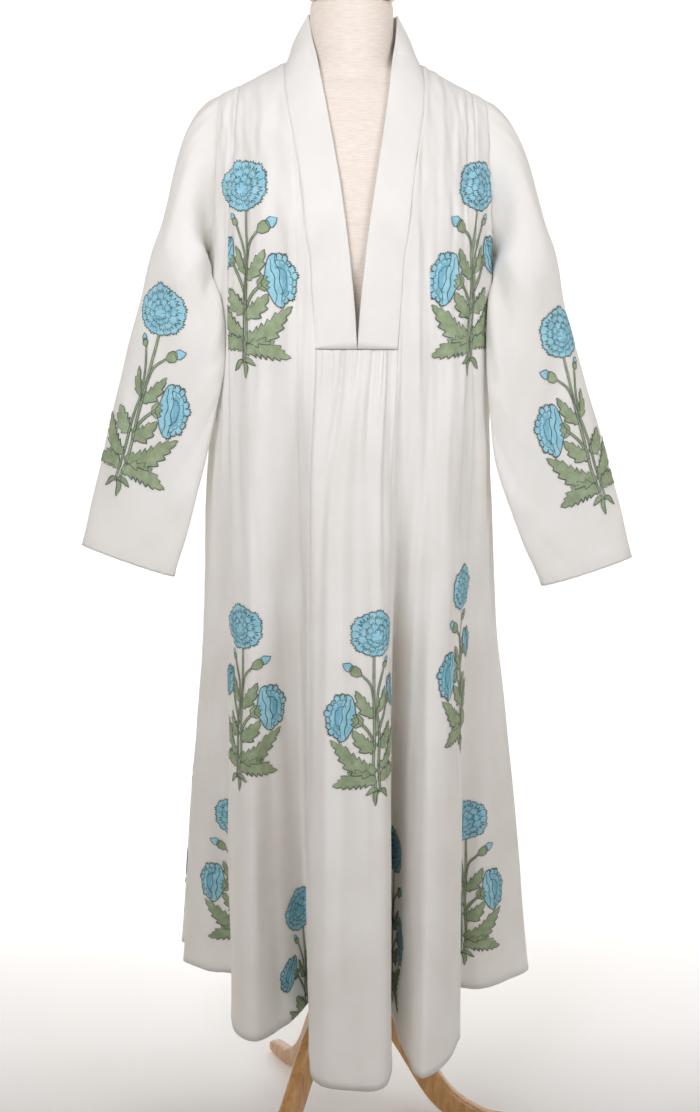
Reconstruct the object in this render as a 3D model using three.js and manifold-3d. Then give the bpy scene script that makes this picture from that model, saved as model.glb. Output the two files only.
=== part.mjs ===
// Long-sleeved cotton maxi dress with a shawl neckband, worn by a limbless dress form on a wooden stand.
// Millimetres, Z up, front towards -Y. Left and right are the wearer's: left is +X.

import * as THREE from "three";
import { mergeVertices } from "three/addons/utils/BufferGeometryUtils.js";
import ManifoldModule from "manifold-3d";

// Main sizes
const CLOTH_WALL = 1.5;
const SEAM_GAP = 0.3;
const ARMPIT_HEIGHT = 1270;
const HEM_HEIGHT = 215;
const SHOULDER_DEPTH_POSITION = 8;
const BAND_BOTTOM_HEIGHT = 1147.2;
const GATHER_COUNT = 12;
const GATHER_DEPTH = 3.2;
const GATHER_REACH = 170;
const SQUARENESS = 0.045;
// Fullness at the underarm: how far it widens the sides, and between which heights it comes in
const UNDERARM_FULLNESS = 13;
const UNDERARM_FROM = 1040;
const UNDERARM_FULL = 1240;

// Girth of the smooth dress, from the hem up
const GIRTHS = [
  { z: 200, half: 265, front: 205, back: 215 },
  { z: 276, half: 258, front: 198, back: 208 },
  { z: 457, half: 242, front: 184, back: 192 },
  { z: 590, half: 227, front: 172, back: 176 },
  { z: 760, half: 209, front: 158, back: 156 },
  { z: 900, half: 201, front: 150, back: 140 },
  { z: 1040, half: 193, front: 142, back: 122 },
  { z: 1165, half: 187, front: 132, back: 111 },
  { z: 1270, half: 180, front: 124, back: 108 },
];

// Height of the shoulder line at a distance from the middle
const SHOULDER_LINE = [
  { x: 0, z: 1545 },
  { x: 86, z: 1525 },
  { x: 143, z: 1497 },
  { x: 173, z: 1483 },
  { x: 200, z: 1466 },
];

// Hem of the skirt, fold by fold, seen from above: turn is the place on the body in degrees
// (0 front, 90 left side, 180 back), x y z the place at the hem, start where the fold begins
// as a share of the way from armpit to hem
const FOLDS = [
  { turn: -90, x: -238, y: 104, z: 215, start: 0.3 },
  { turn: -80, x: -206, y: 62, z: 215, start: 0.3 },
  { turn: -68, x: -152, y: 26, z: 216, start: 0.3 },
  { turn: -57, x: -167, y: -110, z: 208, start: 0.22 },
  { turn: -48, x: -137, y: -170, z: 205, start: 0.22 },
  { turn: -39, x: -92, y: -132, z: 210, start: 0.22 },
  { turn: -28, x: -52, y: -92, z: 226, start: 0.12 },
  { turn: -19.5, x: -62, y: -272, z: 201, start: 0.05 },
  { turn: -3, x: -14, y: -306, z: 197, start: 0.05 },
  { turn: 11, x: 38, y: -292, z: 200, start: 0.05 },
  { turn: 20, x: 50, y: -86, z: 226, start: 0.12 },
  { turn: 28, x: 64, y: -205, z: 212, start: 0.15 },
  { turn: 37, x: 84, y: -282, z: 200, start: 0.15 },
  { turn: 48, x: 143, y: -193, z: 208, start: 0.12 },
  { turn: 59, x: 156, y: -30, z: 216, start: 0.25 },
  { turn: 71, x: 194, y: -32, z: 216, start: 0.25 },
  { turn: 81, x: 240, y: 0, z: 215, start: 0.25 },
  { turn: 90, x: 280, y: 58, z: 214, start: 0.25 },
  { turn: 102, x: 212, y: 108, z: 218, start: 0.25 },
  { turn: 114, x: 262, y: 178, z: 208, start: 0.2 },
  { turn: 124, x: 222, y: 232, z: 205, start: 0.2 },
  { turn: 134, x: 140, y: 150, z: 220, start: 0.2 },
  { turn: 146, x: 146, y: 262, z: 206, start: 0.12 },
  { turn: 157, x: 102, y: 298, z: 203, start: 0.12 },
  { turn: 167, x: 56, y: 172, z: 221, start: 0.15 },
  { turn: 176, x: 42, y: 296, z: 205, start: 0.1 },
  { turn: 187, x: -18, y: 314, z: 202, start: 0.1 },
  { turn: 197, x: -50, y: 186, z: 220, start: 0.15 },
  { turn: 207, x: -76, y: 300, z: 204, start: 0.15 },
  { turn: 218, x: -134, y: 272, z: 206, start: 0.15 },
  { turn: 228, x: -128, y: 164, z: 220, start: 0.2 },
  { turn: 239, x: -196, y: 246, z: 206, start: 0.22 },
  { turn: 250, x: -244, y: 200, z: 208, start: 0.25 },
  { turn: 261, x: -200, y: 130, z: 217, start: 0.3 },
];

// Seam lines: turn from the middle at a level (-1 shoulder line, 0 armpit, 1 hem)
const BAND_SEAM = [
  { level: -1, right: -28.3, left: 28.3 },
  { level: -0.74, right: -30.2, left: 29.8 },
  { level: -0.57, right: -29.3, left: 29 },
  { level: -0.38, right: -26.3, left: 26 },
  { level: -0.21, right: -23.4, left: 23.2 },
  { level: -0.05, right: -21.2, left: 21 },
  { level: 0.036, right: -18.9, left: 18.6 },
  { level: 0.117, right: -17.2, left: 16.6 },
  { level: 0.3, right: -20, left: 15 },
  { level: 1, right: -23.5, left: 15.5 },
];
const PRINCESS_SEAM = [
  { level: -1, right: -54, left: 59, back_left: 121, back_right: 234 },
  { level: -0.42, right: -58.6, left: 59, back_left: 122, back_right: 238 },
  { level: 0, right: -62, left: 59, back_left: 122, back_right: 238 },
  { level: 0.15, right: -58.5, left: 51, back_left: 127, back_right: 233 },
  { level: 0.3, right: -57, left: 48, back_left: 129, back_right: 233 },
  { level: 1, right: -57, left: 48, back_left: 129, back_right: 233 },
];

// Rows of every panel: above the armpit, below it down to the hem
const BODICE_LEVELS = [-1, -0.9, -0.78, -0.65, -0.52, -0.4, -0.3, -0.2, -0.12, -0.06, -0.02];
const SKIRT_LEVELS = [0, 0.055, 0.117, 0.15, 0.2, 0.27, 0.36, 0.46, 0.57, 0.68, 0.79, 0.9, 1];
const CENTRE_LEVELS = SKIRT_LEVELS.slice(2);

// Free edge of the neckband behind the shoulder line, by turn of its seam edge
const BAND_BACK = [
  { turn: 151.7, x: 60, y: 5, z: 1587 },
  { turn: 158, x: 54, y: 33, z: 1586 },
  { turn: 168, x: 33, y: 55, z: 1583 },
  { turn: 180, x: 0.2, y: 64, z: 1581 },
];

// Free edge of the neckband in front, by level of its seam edge; stand is 1 where the band
// stands up round the neck and 0 where it lies flat beside the V
const BAND_FRONT = [
  { level: -1, x: 60, y: 5, z: 1587, stand: 1 },
  { level: -0.82, x: 56, y: -20, z: 1556, stand: 1 },
  { level: -0.66, x: 49, y: -46, z: 1519, stand: 0.8 },
  { level: -0.48, x: 41, y: -77, z: 1471, stand: 0.3 },
  { level: -0.33, x: 33, y: -99, z: 1422, stand: 0 },
  { level: -0.18, x: 24, y: -113, z: 1368, stand: 0 },
  { level: -0.02, x: 15, y: -122, z: 1305, stand: 0 },
  { level: 0.036, x: 8, y: -126, z: 1245, stand: 0 },
  { level: 0.09, x: 2.5, y: -131, z: 1185, stand: 0 },
  { level: 0.117, x: 0.2, y: -133, z: 1147.2, stand: 0 },
];

// Sleeves from the upper arm to the cuff: outer and inner edge of the flattened tube, its thickness
const SLEEVE_RIGHT = [
  { outer: [-262, -2, 1290], inner: [-183, -34, 1238], thick: 94 },
  { outer: [-286, -6, 1207], inner: [-170, -62, 1168], thick: 64 },
  { outer: [-306, -10, 1136], inner: [-177, -72, 1100], thick: 50 },
  { outer: [-331, -14, 1035], inner: [-199, -72, 998], thick: 42 },
  { outer: [-353, -18, 942], inner: [-222, -68, 905], thick: 38 },
  { outer: [-370, -24, 872], inner: [-243, -62, 833], thick: 36 },
];
const SLEEVE_LEFT = [
  { outer: [271, -2, 1292], inner: [187, -34, 1238], thick: 94 },
  { outer: [295, -6, 1197], inner: [181, -62, 1165], thick: 64 },
  { outer: [322, -10, 1112], inner: [184, -72, 1085], thick: 50 },
  { outer: [351, -14, 1022], inner: [196, -72, 990], thick: 42 },
  { outer: [378, -18, 930], inner: [231, -68, 893], thick: 38 },
  { outer: [398, -24, 853], inner: [265, -62, 818], thick: 36 },
];
const SLEEVE_ROWS = [0, 0.1, 0.25, 0.45, 0.7, 1, 1.5, 2, 2.5, 3, 3.5, 4, 4.5, 5, 5.5, 6];

// Dress form, from the bottom up
const FORM_GIRTHS = [
  { z: 846, half: 120, front: 72, back: 84 },
  { z: 850, half: 148, front: 90, back: 104 },
  { z: 866, half: 159, front: 98, back: 112 },
  { z: 930, half: 160, front: 100, back: 113 },
  { z: 1010, half: 146, front: 92, back: 98 },
  { z: 1075, half: 134, front: 86, back: 84 },
  { z: 1150, half: 144, front: 98, back: 88 },
  { z: 1215, half: 158, front: 113, back: 94 },
  { z: 1270, half: 168, front: 118, back: 99 },
];
const FORM_SHOULDER_DROP = 2.2;
const NECK = { x: -2, y: 1, halfWidth: 56.5, halfDepth: 57, top: 1604 };
const NECK_RINGS = [
  { z: 1440, spread: 1.0 },
  { z: 1512, spread: 1.03 },
  { z: 1530, spread: 1.01 },
  { z: 1552, spread: 1.0 },
  { z: 1604, spread: 1.0 },
];

// Stand
const POLE_RADIUS = 12.5;
const HUB = { bottom: 150, top: 212, radius: 29 };
const LEG_TURNS = [-9, 111, 231];
const LEG_WIDTH = 22;
const LEG_LINE = [
  { r: 29.4, z: 184, thick: 36 },
  { r: 46, z: 180, thick: 36 },
  { r: 62, z: 170, thick: 36 },
  { r: 78, z: 152, thick: 36 },
  { r: 94, z: 128, thick: 36 },
  { r: 109, z: 103, thick: 36 },
  { r: 124, z: 78, thick: 36 },
  { r: 141, z: 54, thick: 36 },
  { r: 160, z: 36, thick: 35 },
  { r: 182, z: 24, thick: 31 },
  { r: 212, z: 14, thick: 25 },
  { r: 240, z: 11, thick: 22 },
  { r: 262, z: 9, thick: 18 },
];

const radians = (degrees) => (degrees * Math.PI) / 180;
const mix = (a, b, share) => a + (b - a) * share;
const clamp = (value, low, high) => Math.min(high, Math.max(low, value));

/** Cubic between two values with a slope at each end. */
function between(a, b, slopeA, slopeB, width, share) {
  const s2 = share * share;
  const s3 = s2 * share;
  return (2 * s3 - 3 * s2 + 1) * a + (s3 - 2 * s2 + share) * slopeA * width
    + (3 * s2 - 2 * s3) * b + (s3 - s2) * slopeB * width;
}

/** Smooth curve through a table column that never swings past its rows. */
function curve(rows, at, of) {
  const xs = rows.map((row) => row[at]);
  const ys = rows.map((row) => row[of]);
  const last = xs.length - 1;
  const rise = xs.slice(1).map((x, i) => (ys[i + 1] - ys[i]) / (x - xs[i]));
  const slopes = ys.map((y, i) => {
    if (i === 0) return rise[0];
    if (i === last) return rise[last - 1];
    const product = rise[i - 1] * rise[i];
    return product <= 0 ? 0 : (2 * product) / (rise[i - 1] + rise[i]);
  });
  return (x) => {
    const held = clamp(x, xs[0], xs[last]);
    let i = 0;
    while (i < last - 1 && held > xs[i + 1]) i += 1;
    const width = xs[i + 1] - xs[i];
    return between(ys[i], ys[i + 1], slopes[i], slopes[i + 1], width, (held - xs[i]) / width);
  };
}

/** The closed hem line: every column of FOLDS as a smooth curve of one running place. */
function hemCurves() {
  const count = FOLDS.length;
  const knots = [0];
  for (let i = 0; i < count; i += 1) {
    const a = FOLDS[i];
    const b = FOLDS[(i + 1) % count];
    knots.push(knots[i] + Math.sqrt(Math.hypot(b.x - a.x, b.y - a.y)));
  }
  const around = knots[count];
  const column = (key, wrap) => {
    const value = (i) => FOLDS[(i + count) % count][key] + (i >= count ? wrap : 0) - (i < 0 ? wrap : 0);
    const knot = (i) => (i < 0 ? knots[i + count] - around : i > count ? knots[i - count] + around : knots[i]);
    const slope = (i) => (value(i + 1) - value(i - 1)) / (knot(i + 1) - knot(i - 1));
    return (place) => {
      let i = 0;
      while (i < count - 1 && place > knots[i + 1]) i += 1;
      const width = knots[i + 1] - knots[i];
      return between(value(i), value(i + 1), slope(i), slope(i + 1), width, (place - knots[i]) / width);
    };
  };
  return {
    knots,
    turn: column("turn", 360),
    x: column("x", 0),
    y: column("y", 0),
    z: column("z", 0),
    start: column("start", 0),
  };
}

const HEM = hemCurves();
const HALF_AT = curve(GIRTHS, "z", "half");
const FRONT_AT = curve(GIRTHS, "z", "front");
const BACK_AT = curve(GIRTHS, "z", "back");
const SHOULDER_AT = curve(SHOULDER_LINE, "x", "z");

/** The running place on the hem line whose turn is given. */
function placeAt(turn) {
  let low = HEM.knots[0];
  let high = HEM.knots[HEM.knots.length - 1];
  for (let i = 0; i < 40; i += 1) {
    const middle = (low + high) / 2;
    if (HEM.turn(middle) < turn) low = middle;
    else high = middle;
  }
  return (low + high) / 2;
}

/** Smooth body section at a height. */
function ring(turn, z, halfAt = HALF_AT, frontAt = FRONT_AT, backAt = BACK_AT) {
  const s = Math.sin(radians(turn));
  const c = Math.cos(radians(turn));
  const square = 1 + SQUARENESS * Math.sin(2 * radians(turn)) ** 2;
  const depth = c >= 0 ? frontAt(z) : backAt(z);
  const side = clamp((Math.abs(s) - 0.8) / 0.2, 0, 1);
  const high = clamp((z - UNDERARM_FROM) / (UNDERARM_FULL - UNDERARM_FROM), 0, 1);
  const fullness = halfAt === HALF_AT ? UNDERARM_FULLNESS * side * side * (3 - 2 * side) * high : 0;
  return [halfAt(z) * s * square + Math.sign(s) * fullness, -depth * c * square];
}

/** Rounds a column of the body over from the armpit level to the shoulder line. */
function overShoulder(turn, level, x, y, drop = 0, gap = SEAM_GAP) {
  const bend = 2 / (2.3 - 0.3 * Math.cos(radians(turn)));
  const angle = radians(90 * clamp(1 + level, 0, 1));
  const top = SHOULDER_AT(Math.abs(x)) - drop;
  const down = 1 - Math.max(Math.cos(angle), 0) ** bend;
  const out = Math.sin(angle) ** bend;
  const seamSide = Math.cos(radians(turn)) > 0 ? -gap / 2 : gap / 2;
  return new THREE.Vector3(x, mix(SHOULDER_DEPTH_POSITION + seamSide, y, out), mix(top, ARMPIT_HEIGHT, down));
}

/** A point of the dress: running place around it, level from shoulder line to hem. */
function cloth(place, level) {
  const turn = HEM.turn(place);
  if (level < 0) {
    const [x, y] = ring(turn, ARMPIT_HEIGHT);
    return overShoulder(turn, level, x, y);
  }
  const hemZ = HEM.z(place);
  const z = mix(ARMPIT_HEIGHT, HEM_HEIGHT, level) + (hemZ - HEM_HEIGHT) * level * level;
  const start = HEM.start(place);
  const fold = Math.max(0, (level - start) / (1 - start)) ** 1.15;
  const [x, y] = ring(turn, z);
  const [hemX, hemY] = ring(turn, hemZ);
  return new THREE.Vector3(x + fold * (HEM.x(place) - hemX), y + fold * (HEM.y(place) - hemY), z);
}

/** Outward direction of any sheet u, v -> point, by small steps that stay on the sheet. */
function outward(sheet, u, v, sign = 1) {
  const step = 0.001;
  const alongU = sheet(Math.min(1, u + step), v).sub(sheet(Math.max(0, u - step), v));
  const low = sheet(u, v - step) ?? sheet(u, v);
  const high = sheet(u, v + step) ?? sheet(u, v);
  const normal = high.sub(low).cross(alongU).normalize();
  return normal.multiplyScalar(sign);
}

/** Outward direction of the dress itself at a running place and level. */
function clothOutward(place, level) {
  const along = cloth(place + 0.01, level).sub(cloth(place - 0.01, level));
  const high = cloth(place, Math.min(1, level + 0.001));
  const down = high.sub(cloth(place, Math.max(-1, level - 0.001)));
  return down.cross(along).normalize();
}

/** Signed volume of a triangle list. */
function signedVolume(points, faces) {
  let total = 0;
  for (const [a, b, c] of faces) {
    total += points[a].dot(new THREE.Vector3().crossVectors(points[b], points[c])) / 6;
  }
  return total;
}

/** Closed body from points and triangles, faces turned to look out. */
function bodyFrom(points, faces) {
  const flip = signedVolume(points, faces) < 0;
  const flat = [];
  for (const [a, b, c] of faces) {
    for (const index of flip ? [a, c, b] : [a, b, c]) flat.push(points[index].x, points[index].y, points[index].z);
  }
  const geometry = new THREE.BufferGeometry();
  geometry.setAttribute("position", new THREE.Float32BufferAttribute(flat, 3));
  const merged = mergeVertices(geometry, 1e-4);
  merged.computeVertexNormals();
  return merged;
}

/** A cloth wall from rows of outer points and the outward directions there; closed goes round. */
function wall(outer, normals, closed) {
  const rows = outer.length;
  const columns = outer[0].length;
  const points = [];
  for (const row of outer) points.push(...row);
  outer.forEach((row, j) => row.forEach((point, i) => {
    points.push(point.clone().addScaledVector(normals[j][i], -CLOTH_WALL));
  }));
  const half = rows * columns;
  const at = (j, i, inside) => j * columns + (i % columns) + (inside ? half : 0);
  const faces = [];
  const quad = (a, b, c, d) => faces.push([a, b, c], [a, c, d]);
  const spans = closed ? columns : columns - 1;
  for (let j = 0; j < rows - 1; j += 1) {
    for (let i = 0; i < spans; i += 1) {
      quad(at(j, i), at(j, i + 1), at(j + 1, i + 1), at(j + 1, i));
      quad(at(j, i, true), at(j + 1, i, true), at(j + 1, i + 1, true), at(j, i + 1, true));
    }
  }
  for (let i = 0; i < spans; i += 1) {
    quad(at(0, i), at(0, i, true), at(0, i + 1, true), at(0, i + 1));
    quad(at(rows - 1, i), at(rows - 1, i + 1), at(rows - 1, i + 1, true), at(rows - 1, i, true));
  }
  if (!closed) {
    for (let j = 0; j < rows - 1; j += 1) {
      quad(at(j, 0), at(j + 1, 0), at(j + 1, 0, true), at(j, 0, true));
      quad(at(j, columns - 1), at(j, columns - 1, true), at(j + 1, columns - 1, true), at(j + 1, columns - 1));
    }
  }
  return bodyFrom(points, faces);
}

/** Seam line as running place by level. */
function seam(rows, key) {
  const turnAt = curve(rows, "level", key);
  return (level) => placeAt(turnAt(level));
}

/** Turn of the armhole edge by level, front half, from the shoulder point to the armpit. */
function armholeTurn(level) {
  const upper = mix(68, 71, Math.sin(radians(90 * clamp((level + 1) / 0.5, 0, 1))));
  const reach = clamp((level + 0.5) / 0.5, 0, 1);
  return upper + 19 * (1 - Math.sqrt(1 - reach * reach));
}

/** Level of the back neckline, -1 where it meets the shoulder line. */
function neckLevel(turn) {
  const share = Math.min(1, Math.abs(turn - 180) / 28.3);
  return -mix(0.665, 1, share ** 2.4);
}

/** A panel between two seam lines; top gives the level its upper edge starts at. */
function panel(from, to, options = {}) {
  const { levels = [...BODICE_LEVELS, ...SKIRT_LEVELS], top = null, split = 2, lift = null } = options;
  const bounds = new Map();
  const edges = (level) => {
    if (!bounds.has(level)) {
      const a = from(level);
      const b = to(level);
      const step = 0.02;
      const speedA = cloth(a + step, level).distanceTo(cloth(a, level)) / step;
      const speedB = cloth(b - step, level).distanceTo(cloth(b, level)) / step;
      bounds.set(level, [a + SEAM_GAP / 2 / speedA, b - SEAM_GAP / 2 / speedB]);
    }
    return bounds.get(level);
  };
  const lowest = levels[0];
  const spot = (u, level) => {
    const held = clamp(level, lowest, 1);
    const [a, b] = edges(held);
    const place = mix(a, b, u);
    return [place, top && held < 0 ? held * Math.abs(top(HEM.turn(place))) : held];
  };
  const plain = (u, level) => cloth(...spot(u, level));
  const sheet = lift ? (u, level) => lift(plain, u, level) : plain;
  const [hemA, hemB] = edges(1);
  const inside = HEM.knots.filter((knot) => knot > hemA + 0.4 && knot < hemB - 0.4);
  const stops = [hemA, ...inside, hemB];
  const [topA, topB] = edges(lowest);
  const kept = (options.corners ?? []).map((turn) => (placeAt(turn) - topA) / (topB - topA));
  const regular = options.shares ?? stops.flatMap((stop, i) => {
    if (i === stops.length - 1) return [1];
    const share = (n) => (mix(stop, stops[i + 1], n / split) - hemA) / (hemB - hemA);
    return Array.from({ length: split }, (unused, n) => share(n));
  });
  const apart = regular.filter((u) => u === 0 || u === 1 || kept.every((k) => Math.abs(k - u) > 0.015));
  const shares = [...apart, ...kept].sort((a, b) => a - b);
  const outer = levels.map((level) => shares.map((u) => sheet(u, level)));
  const normals = levels.map((level) => shares.map((u) => {
    const onSeam = !lift || u === 0 || u === 1;
    return onSeam ? clothOutward(...spot(u, level)) : outward(sheet, u, level);
  }));
  const topTurns = shares.map((u) => HEM.turn(mix(topA, topB, u)));
  return { outer, normals, topTurns };
}

/** Small gathers under the neckband, running out into the folds of the skirt. */
function gathers(plain, u, level) {
  const point = plain(u, level);
  const fall = (ARMPIT_HEIGHT - 215) * (level - 0.117);
  const edge = Math.min(1, Math.min(u, 1 - u) * 12);
  const depth = GATHER_DEPTH * edge * Math.exp(-((fall / GATHER_REACH) ** 2));
  const wave = Math.cos(2 * Math.PI * GATHER_COUNT * u) * depth;
  return point.addScaledVector(outward(plain, u, level), wave);
}

/** Front surface of the bodice at a width and height. */
function frontDepth(x, z) {
  const height = Math.min(z, ARMPIT_HEIGHT);
  let low = 0;
  let high = 89;
  for (let i = 0; i < 30; i += 1) {
    const middle = (low + high) / 2;
    if (ring(middle, height)[0] < Math.abs(x)) low = middle;
    else high = middle;
  }
  const y = ring(low, height)[1];
  if (z <= ARMPIT_HEIGHT) return y;
  const top = SHOULDER_AT(Math.abs(x));
  const bend = 2.3 - 0.3 * Math.cos(radians(low));
  const down = clamp((top - z) / (top - ARMPIT_HEIGHT), 0, 1);
  return mix(SHOULDER_DEPTH_POSITION, y, (1 - (1 - down) ** bend) ** (1 / bend));
}

/** Neckband of one side, standing round the neck and lying flat beside the V. */
function neckband(side, bandPlace, backTurns) {
  const backColumn = (key) => curve(BAND_BACK, "turn", key);
  const frontColumn = (key) => curve(BAND_FRONT, "level", key);
  const back = { x: backColumn("x"), y: backColumn("y"), z: backColumn("z") };
  const front = { x: frontColumn("x"), y: frontColumn("y"), z: frontColumn("z") };
  const stand = frontColumn("stand");
  const line = (share, edge, free, flatness) => {
    const full = edge.distanceTo(free);
    const point = edge.clone().lerp(free, mix(SEAM_GAP / 2 / full, 1, share));
    const bow = Math.sin(Math.PI * share);
    if (flatness > 0) point.y = mix(point.y, frontDepth(point.x, point.z), flatness * Math.min(1, 2.5 * bow));
    const away = new THREE.Vector3(point.x, point.y - 5, 0).normalize();
    return point.addScaledVector(away, 3 * bow * (1 - flatness));
  };
  const backEnd = backTurns.length - 1;
  const frontLevels = [...BODICE_LEVELS, ...SKIRT_LEVELS.slice(0, 3)];
  const frontEnd = backEnd + frontLevels.length - 1;
  const along = (list, v) => {
    const i = Math.min(list.length - 2, Math.floor(v));
    return mix(list[i], list[i + 1], v - i);
  };
  const sheet = (share, v) => {
    const held = clamp(v, 0, frontEnd);
    if (held < backEnd) {
      const turn = along(backTurns, held);
      const mirrored = side > 0 ? turn : 360 - turn;
      const edge = cloth(placeAt(mirrored), neckLevel(turn));
      edge.x = Math.abs(edge.x);
      const free = new THREE.Vector3(back.x(turn), back.y(turn), back.z(turn));
      const point = line(share, edge, free, 0);
      return new THREE.Vector3(Math.max(point.x, SEAM_GAP / 2) * side, point.y, point.z);
    }
    const level = along(frontLevels, held - backEnd);
    const edge = cloth(bandPlace(level), level);
    edge.x = Math.abs(edge.x);
    if (level > 0.1) edge.z = mix(edge.z, BAND_BOTTOM_HEIGHT, (level - 0.1) / 0.017);
    const free = new THREE.Vector3(front.x(level), front.y(level), front.z(level));
    free.y = mix(Math.min(frontDepth(free.x, Math.min(free.z, 1525)), free.y), free.y, stand(level));
    const point = line(share, edge, free, 1 - stand(level));
    return new THREE.Vector3(Math.max(point.x, SEAM_GAP / 2) * side, point.y, point.z);
  };
  const rows = Array.from({ length: frontEnd + 1 }, (unused, i) => i);
  const shares = [0, 0.25, 0.5, 0.75, 1];
  const outer = rows.map((v) => shares.map((u) => sheet(u, v)));
  const normals = rows.map((v) => shares.map((u) => outward(sheet, u, v, side)));
  for (const normal of normals[0]) normal.setX(0).normalize();
  return wall(outer, normals, false);
}

/** Points of the armhole edge, one for each level, with the bodice direction there. */
function armholeEdge(side) {
  const levels = [...BODICE_LEVELS, 0];
  const edge = (level, isBack) => {
    const turn = isBack ? 180 - armholeTurn(level) : armholeTurn(level);
    const [x, y] = ring(turn, ARMPIT_HEIGHT);
    return overShoulder(turn, level, x, y);
  };
  const front = levels.map((level) => edge(level, false));
  const back = levels.slice(1, -1).reverse().map((level) => edge(level, true));
  const loop = [...front, ...back];
  return loop.map((point) => new THREE.Vector3(point.x * side, point.y, point.z));
}

/** Moves a sleeve point out of the side of the dress. */
function clearOfBody(point, margin) {
  if (point.z > ARMPIT_HEIGHT) return point;
  const turn = (Math.atan2(point.x / HALF_AT(point.z), -point.y / FRONT_AT(point.z)) * 180) / Math.PI;
  const wrapped = point.y > 0
    ? (Math.atan2(point.x / HALF_AT(point.z), -point.y / BACK_AT(point.z)) * 180) / Math.PI
    : turn;
  const [x, y] = ring(wrapped, point.z);
  const reach = Math.hypot(x, y) + margin;
  const own = Math.hypot(point.x, point.y);
  if (own >= reach) return point;
  return new THREE.Vector3((point.x * reach) / own, (point.y * reach) / own, point.z);
}

/** One sleeve: a tube from the armhole over the cap and down to the open cuff. */
function sleeve(rows, side) {
  const edge = armholeEdge(side);
  const count = edge.length;
  const frontCount = BODICE_LEVELS.length;
  const centre = edge.reduce((sum, point) => sum.add(point), new THREE.Vector3()).divideScalar(count);
  const lengths = [0];
  for (let i = 0; i < count; i += 1) lengths.push(lengths[i] + edge[i].distanceTo(edge[(i + 1) % count]));
  const angles = edge.map((point, i) => {
    if (i <= frontCount) return (Math.PI * lengths[i]) / lengths[frontCount];
    return Math.PI + (Math.PI * (lengths[i] - lengths[frontCount])) / (lengths[count] - lengths[frontCount]);
  });
  const rings = rows.map((row, n) => {
    const outer = new THREE.Vector3(...row.outer);
    const inner = new THREE.Vector3(...row.inner);
    const before = rows[Math.max(0, n - 1)];
    const after = rows[Math.min(rows.length - 1, n + 1)];
    const way = new THREE.Vector3(...after.outer).add(new THREE.Vector3(...after.inner))
      .sub(new THREE.Vector3(...before.outer)).sub(new THREE.Vector3(...before.inner)).normalize();
    const across = outer.clone().sub(inner).multiplyScalar(0.5);
    const thick = new THREE.Vector3().crossVectors(way, across).normalize().multiplyScalar(row.thick / 2);
    if (thick.y > 0) thick.negate();
    const middle = outer.clone().add(inner).multiplyScalar(0.5);
    return angles.map((angle) => middle.clone()
      .addScaledVector(across, Math.cos(angle)).addScaledVector(thick, Math.sin(angle)));
  });
  const starts = edge.map((point, i) => {
    const down = (1 - Math.cos(angles[i])) / 2;
    const sideways = Math.sin(angles[i]);
    return new THREE.Vector3(side * mix(0.9, 1, down), -0.35 * sideways, mix(-0.45, 0.25, down)).normalize();
  });
  const loops = [edge.map((point, i) => point.clone().addScaledVector(starts[i], SEAM_GAP + 0.1)), ...rings];
  const point = (i, w) => {
    const n = Math.min(rings.length - 1, Math.floor(w));
    const share = w - n;
    const reach = loops[n + 1][i].distanceTo(loops[n][i]);
    const slope = (m) => {
      if (m === 0) return starts[i].clone().multiplyScalar(loops[1][i].distanceTo(loops[0][i]));
      const next = loops[Math.min(loops.length - 1, m + 1)][i];
      const previous = loops[m - 1][i];
      const way = next.clone().sub(previous).normalize();
      return way.multiplyScalar(reach);
    };
    const a = loops[n][i];
    const b = loops[n + 1][i];
    const sa = slope(n);
    const sb = slope(n + 1);
    const value = (key) => between(a[key], b[key], sa[key], sb[key], 1, share);
    const found = new THREE.Vector3(value("x"), value("y"), value("z"));
    return w > 0 ? clearOfBody(found, 1.2) : found;
  };
  const outer = SLEEVE_ROWS.map((w) => edge.map((unused, i) => point(i, w)));
  const normals = outer.map((row, j) => row.map((here, i) => {
    const round = row[(i + 1) % count].clone().sub(row[(i + count - 1) % count]);
    const down = outer[Math.min(outer.length - 1, j + 1)][i].clone().sub(outer[Math.max(0, j - 1)][i]);
    const normal = round.cross(down).normalize();
    const middle = row.reduce((sum, each) => sum.add(each), new THREE.Vector3()).divideScalar(count);
    const away = here.clone().sub(j === 0 ? centre : middle);
    return normal.dot(away) < 0 ? normal.negate() : normal;
  }));
  return wall(outer, normals, true);
}

/** Body of rings with one shared number of points, closed by a point at either end. */
function ringBody(rings, bottom, top) {
  const count = rings[0].length;
  const points = rings.flat();
  const faces = [];
  for (let j = 0; j < rings.length - 1; j += 1) {
    for (let i = 0; i < count; i += 1) {
      const a = j * count + i;
      const b = j * count + ((i + 1) % count);
      faces.push([a, b, b + count], [a, b + count, a + count]);
    }
  }
  const addEnd = (point, start, reverse) => {
    points.push(point);
    const tip = points.length - 1;
    for (let i = 0; i < count; i += 1) {
      const a = start + i;
      const b = start + ((i + 1) % count);
      faces.push(reverse ? [tip, b, a] : [tip, a, b]);
    }
  };
  if (bottom) addEnd(bottom, 0, true);
  if (top) addEnd(top, (rings.length - 1) * count, false);
  return bodyFrom(points, faces);
}

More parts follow.
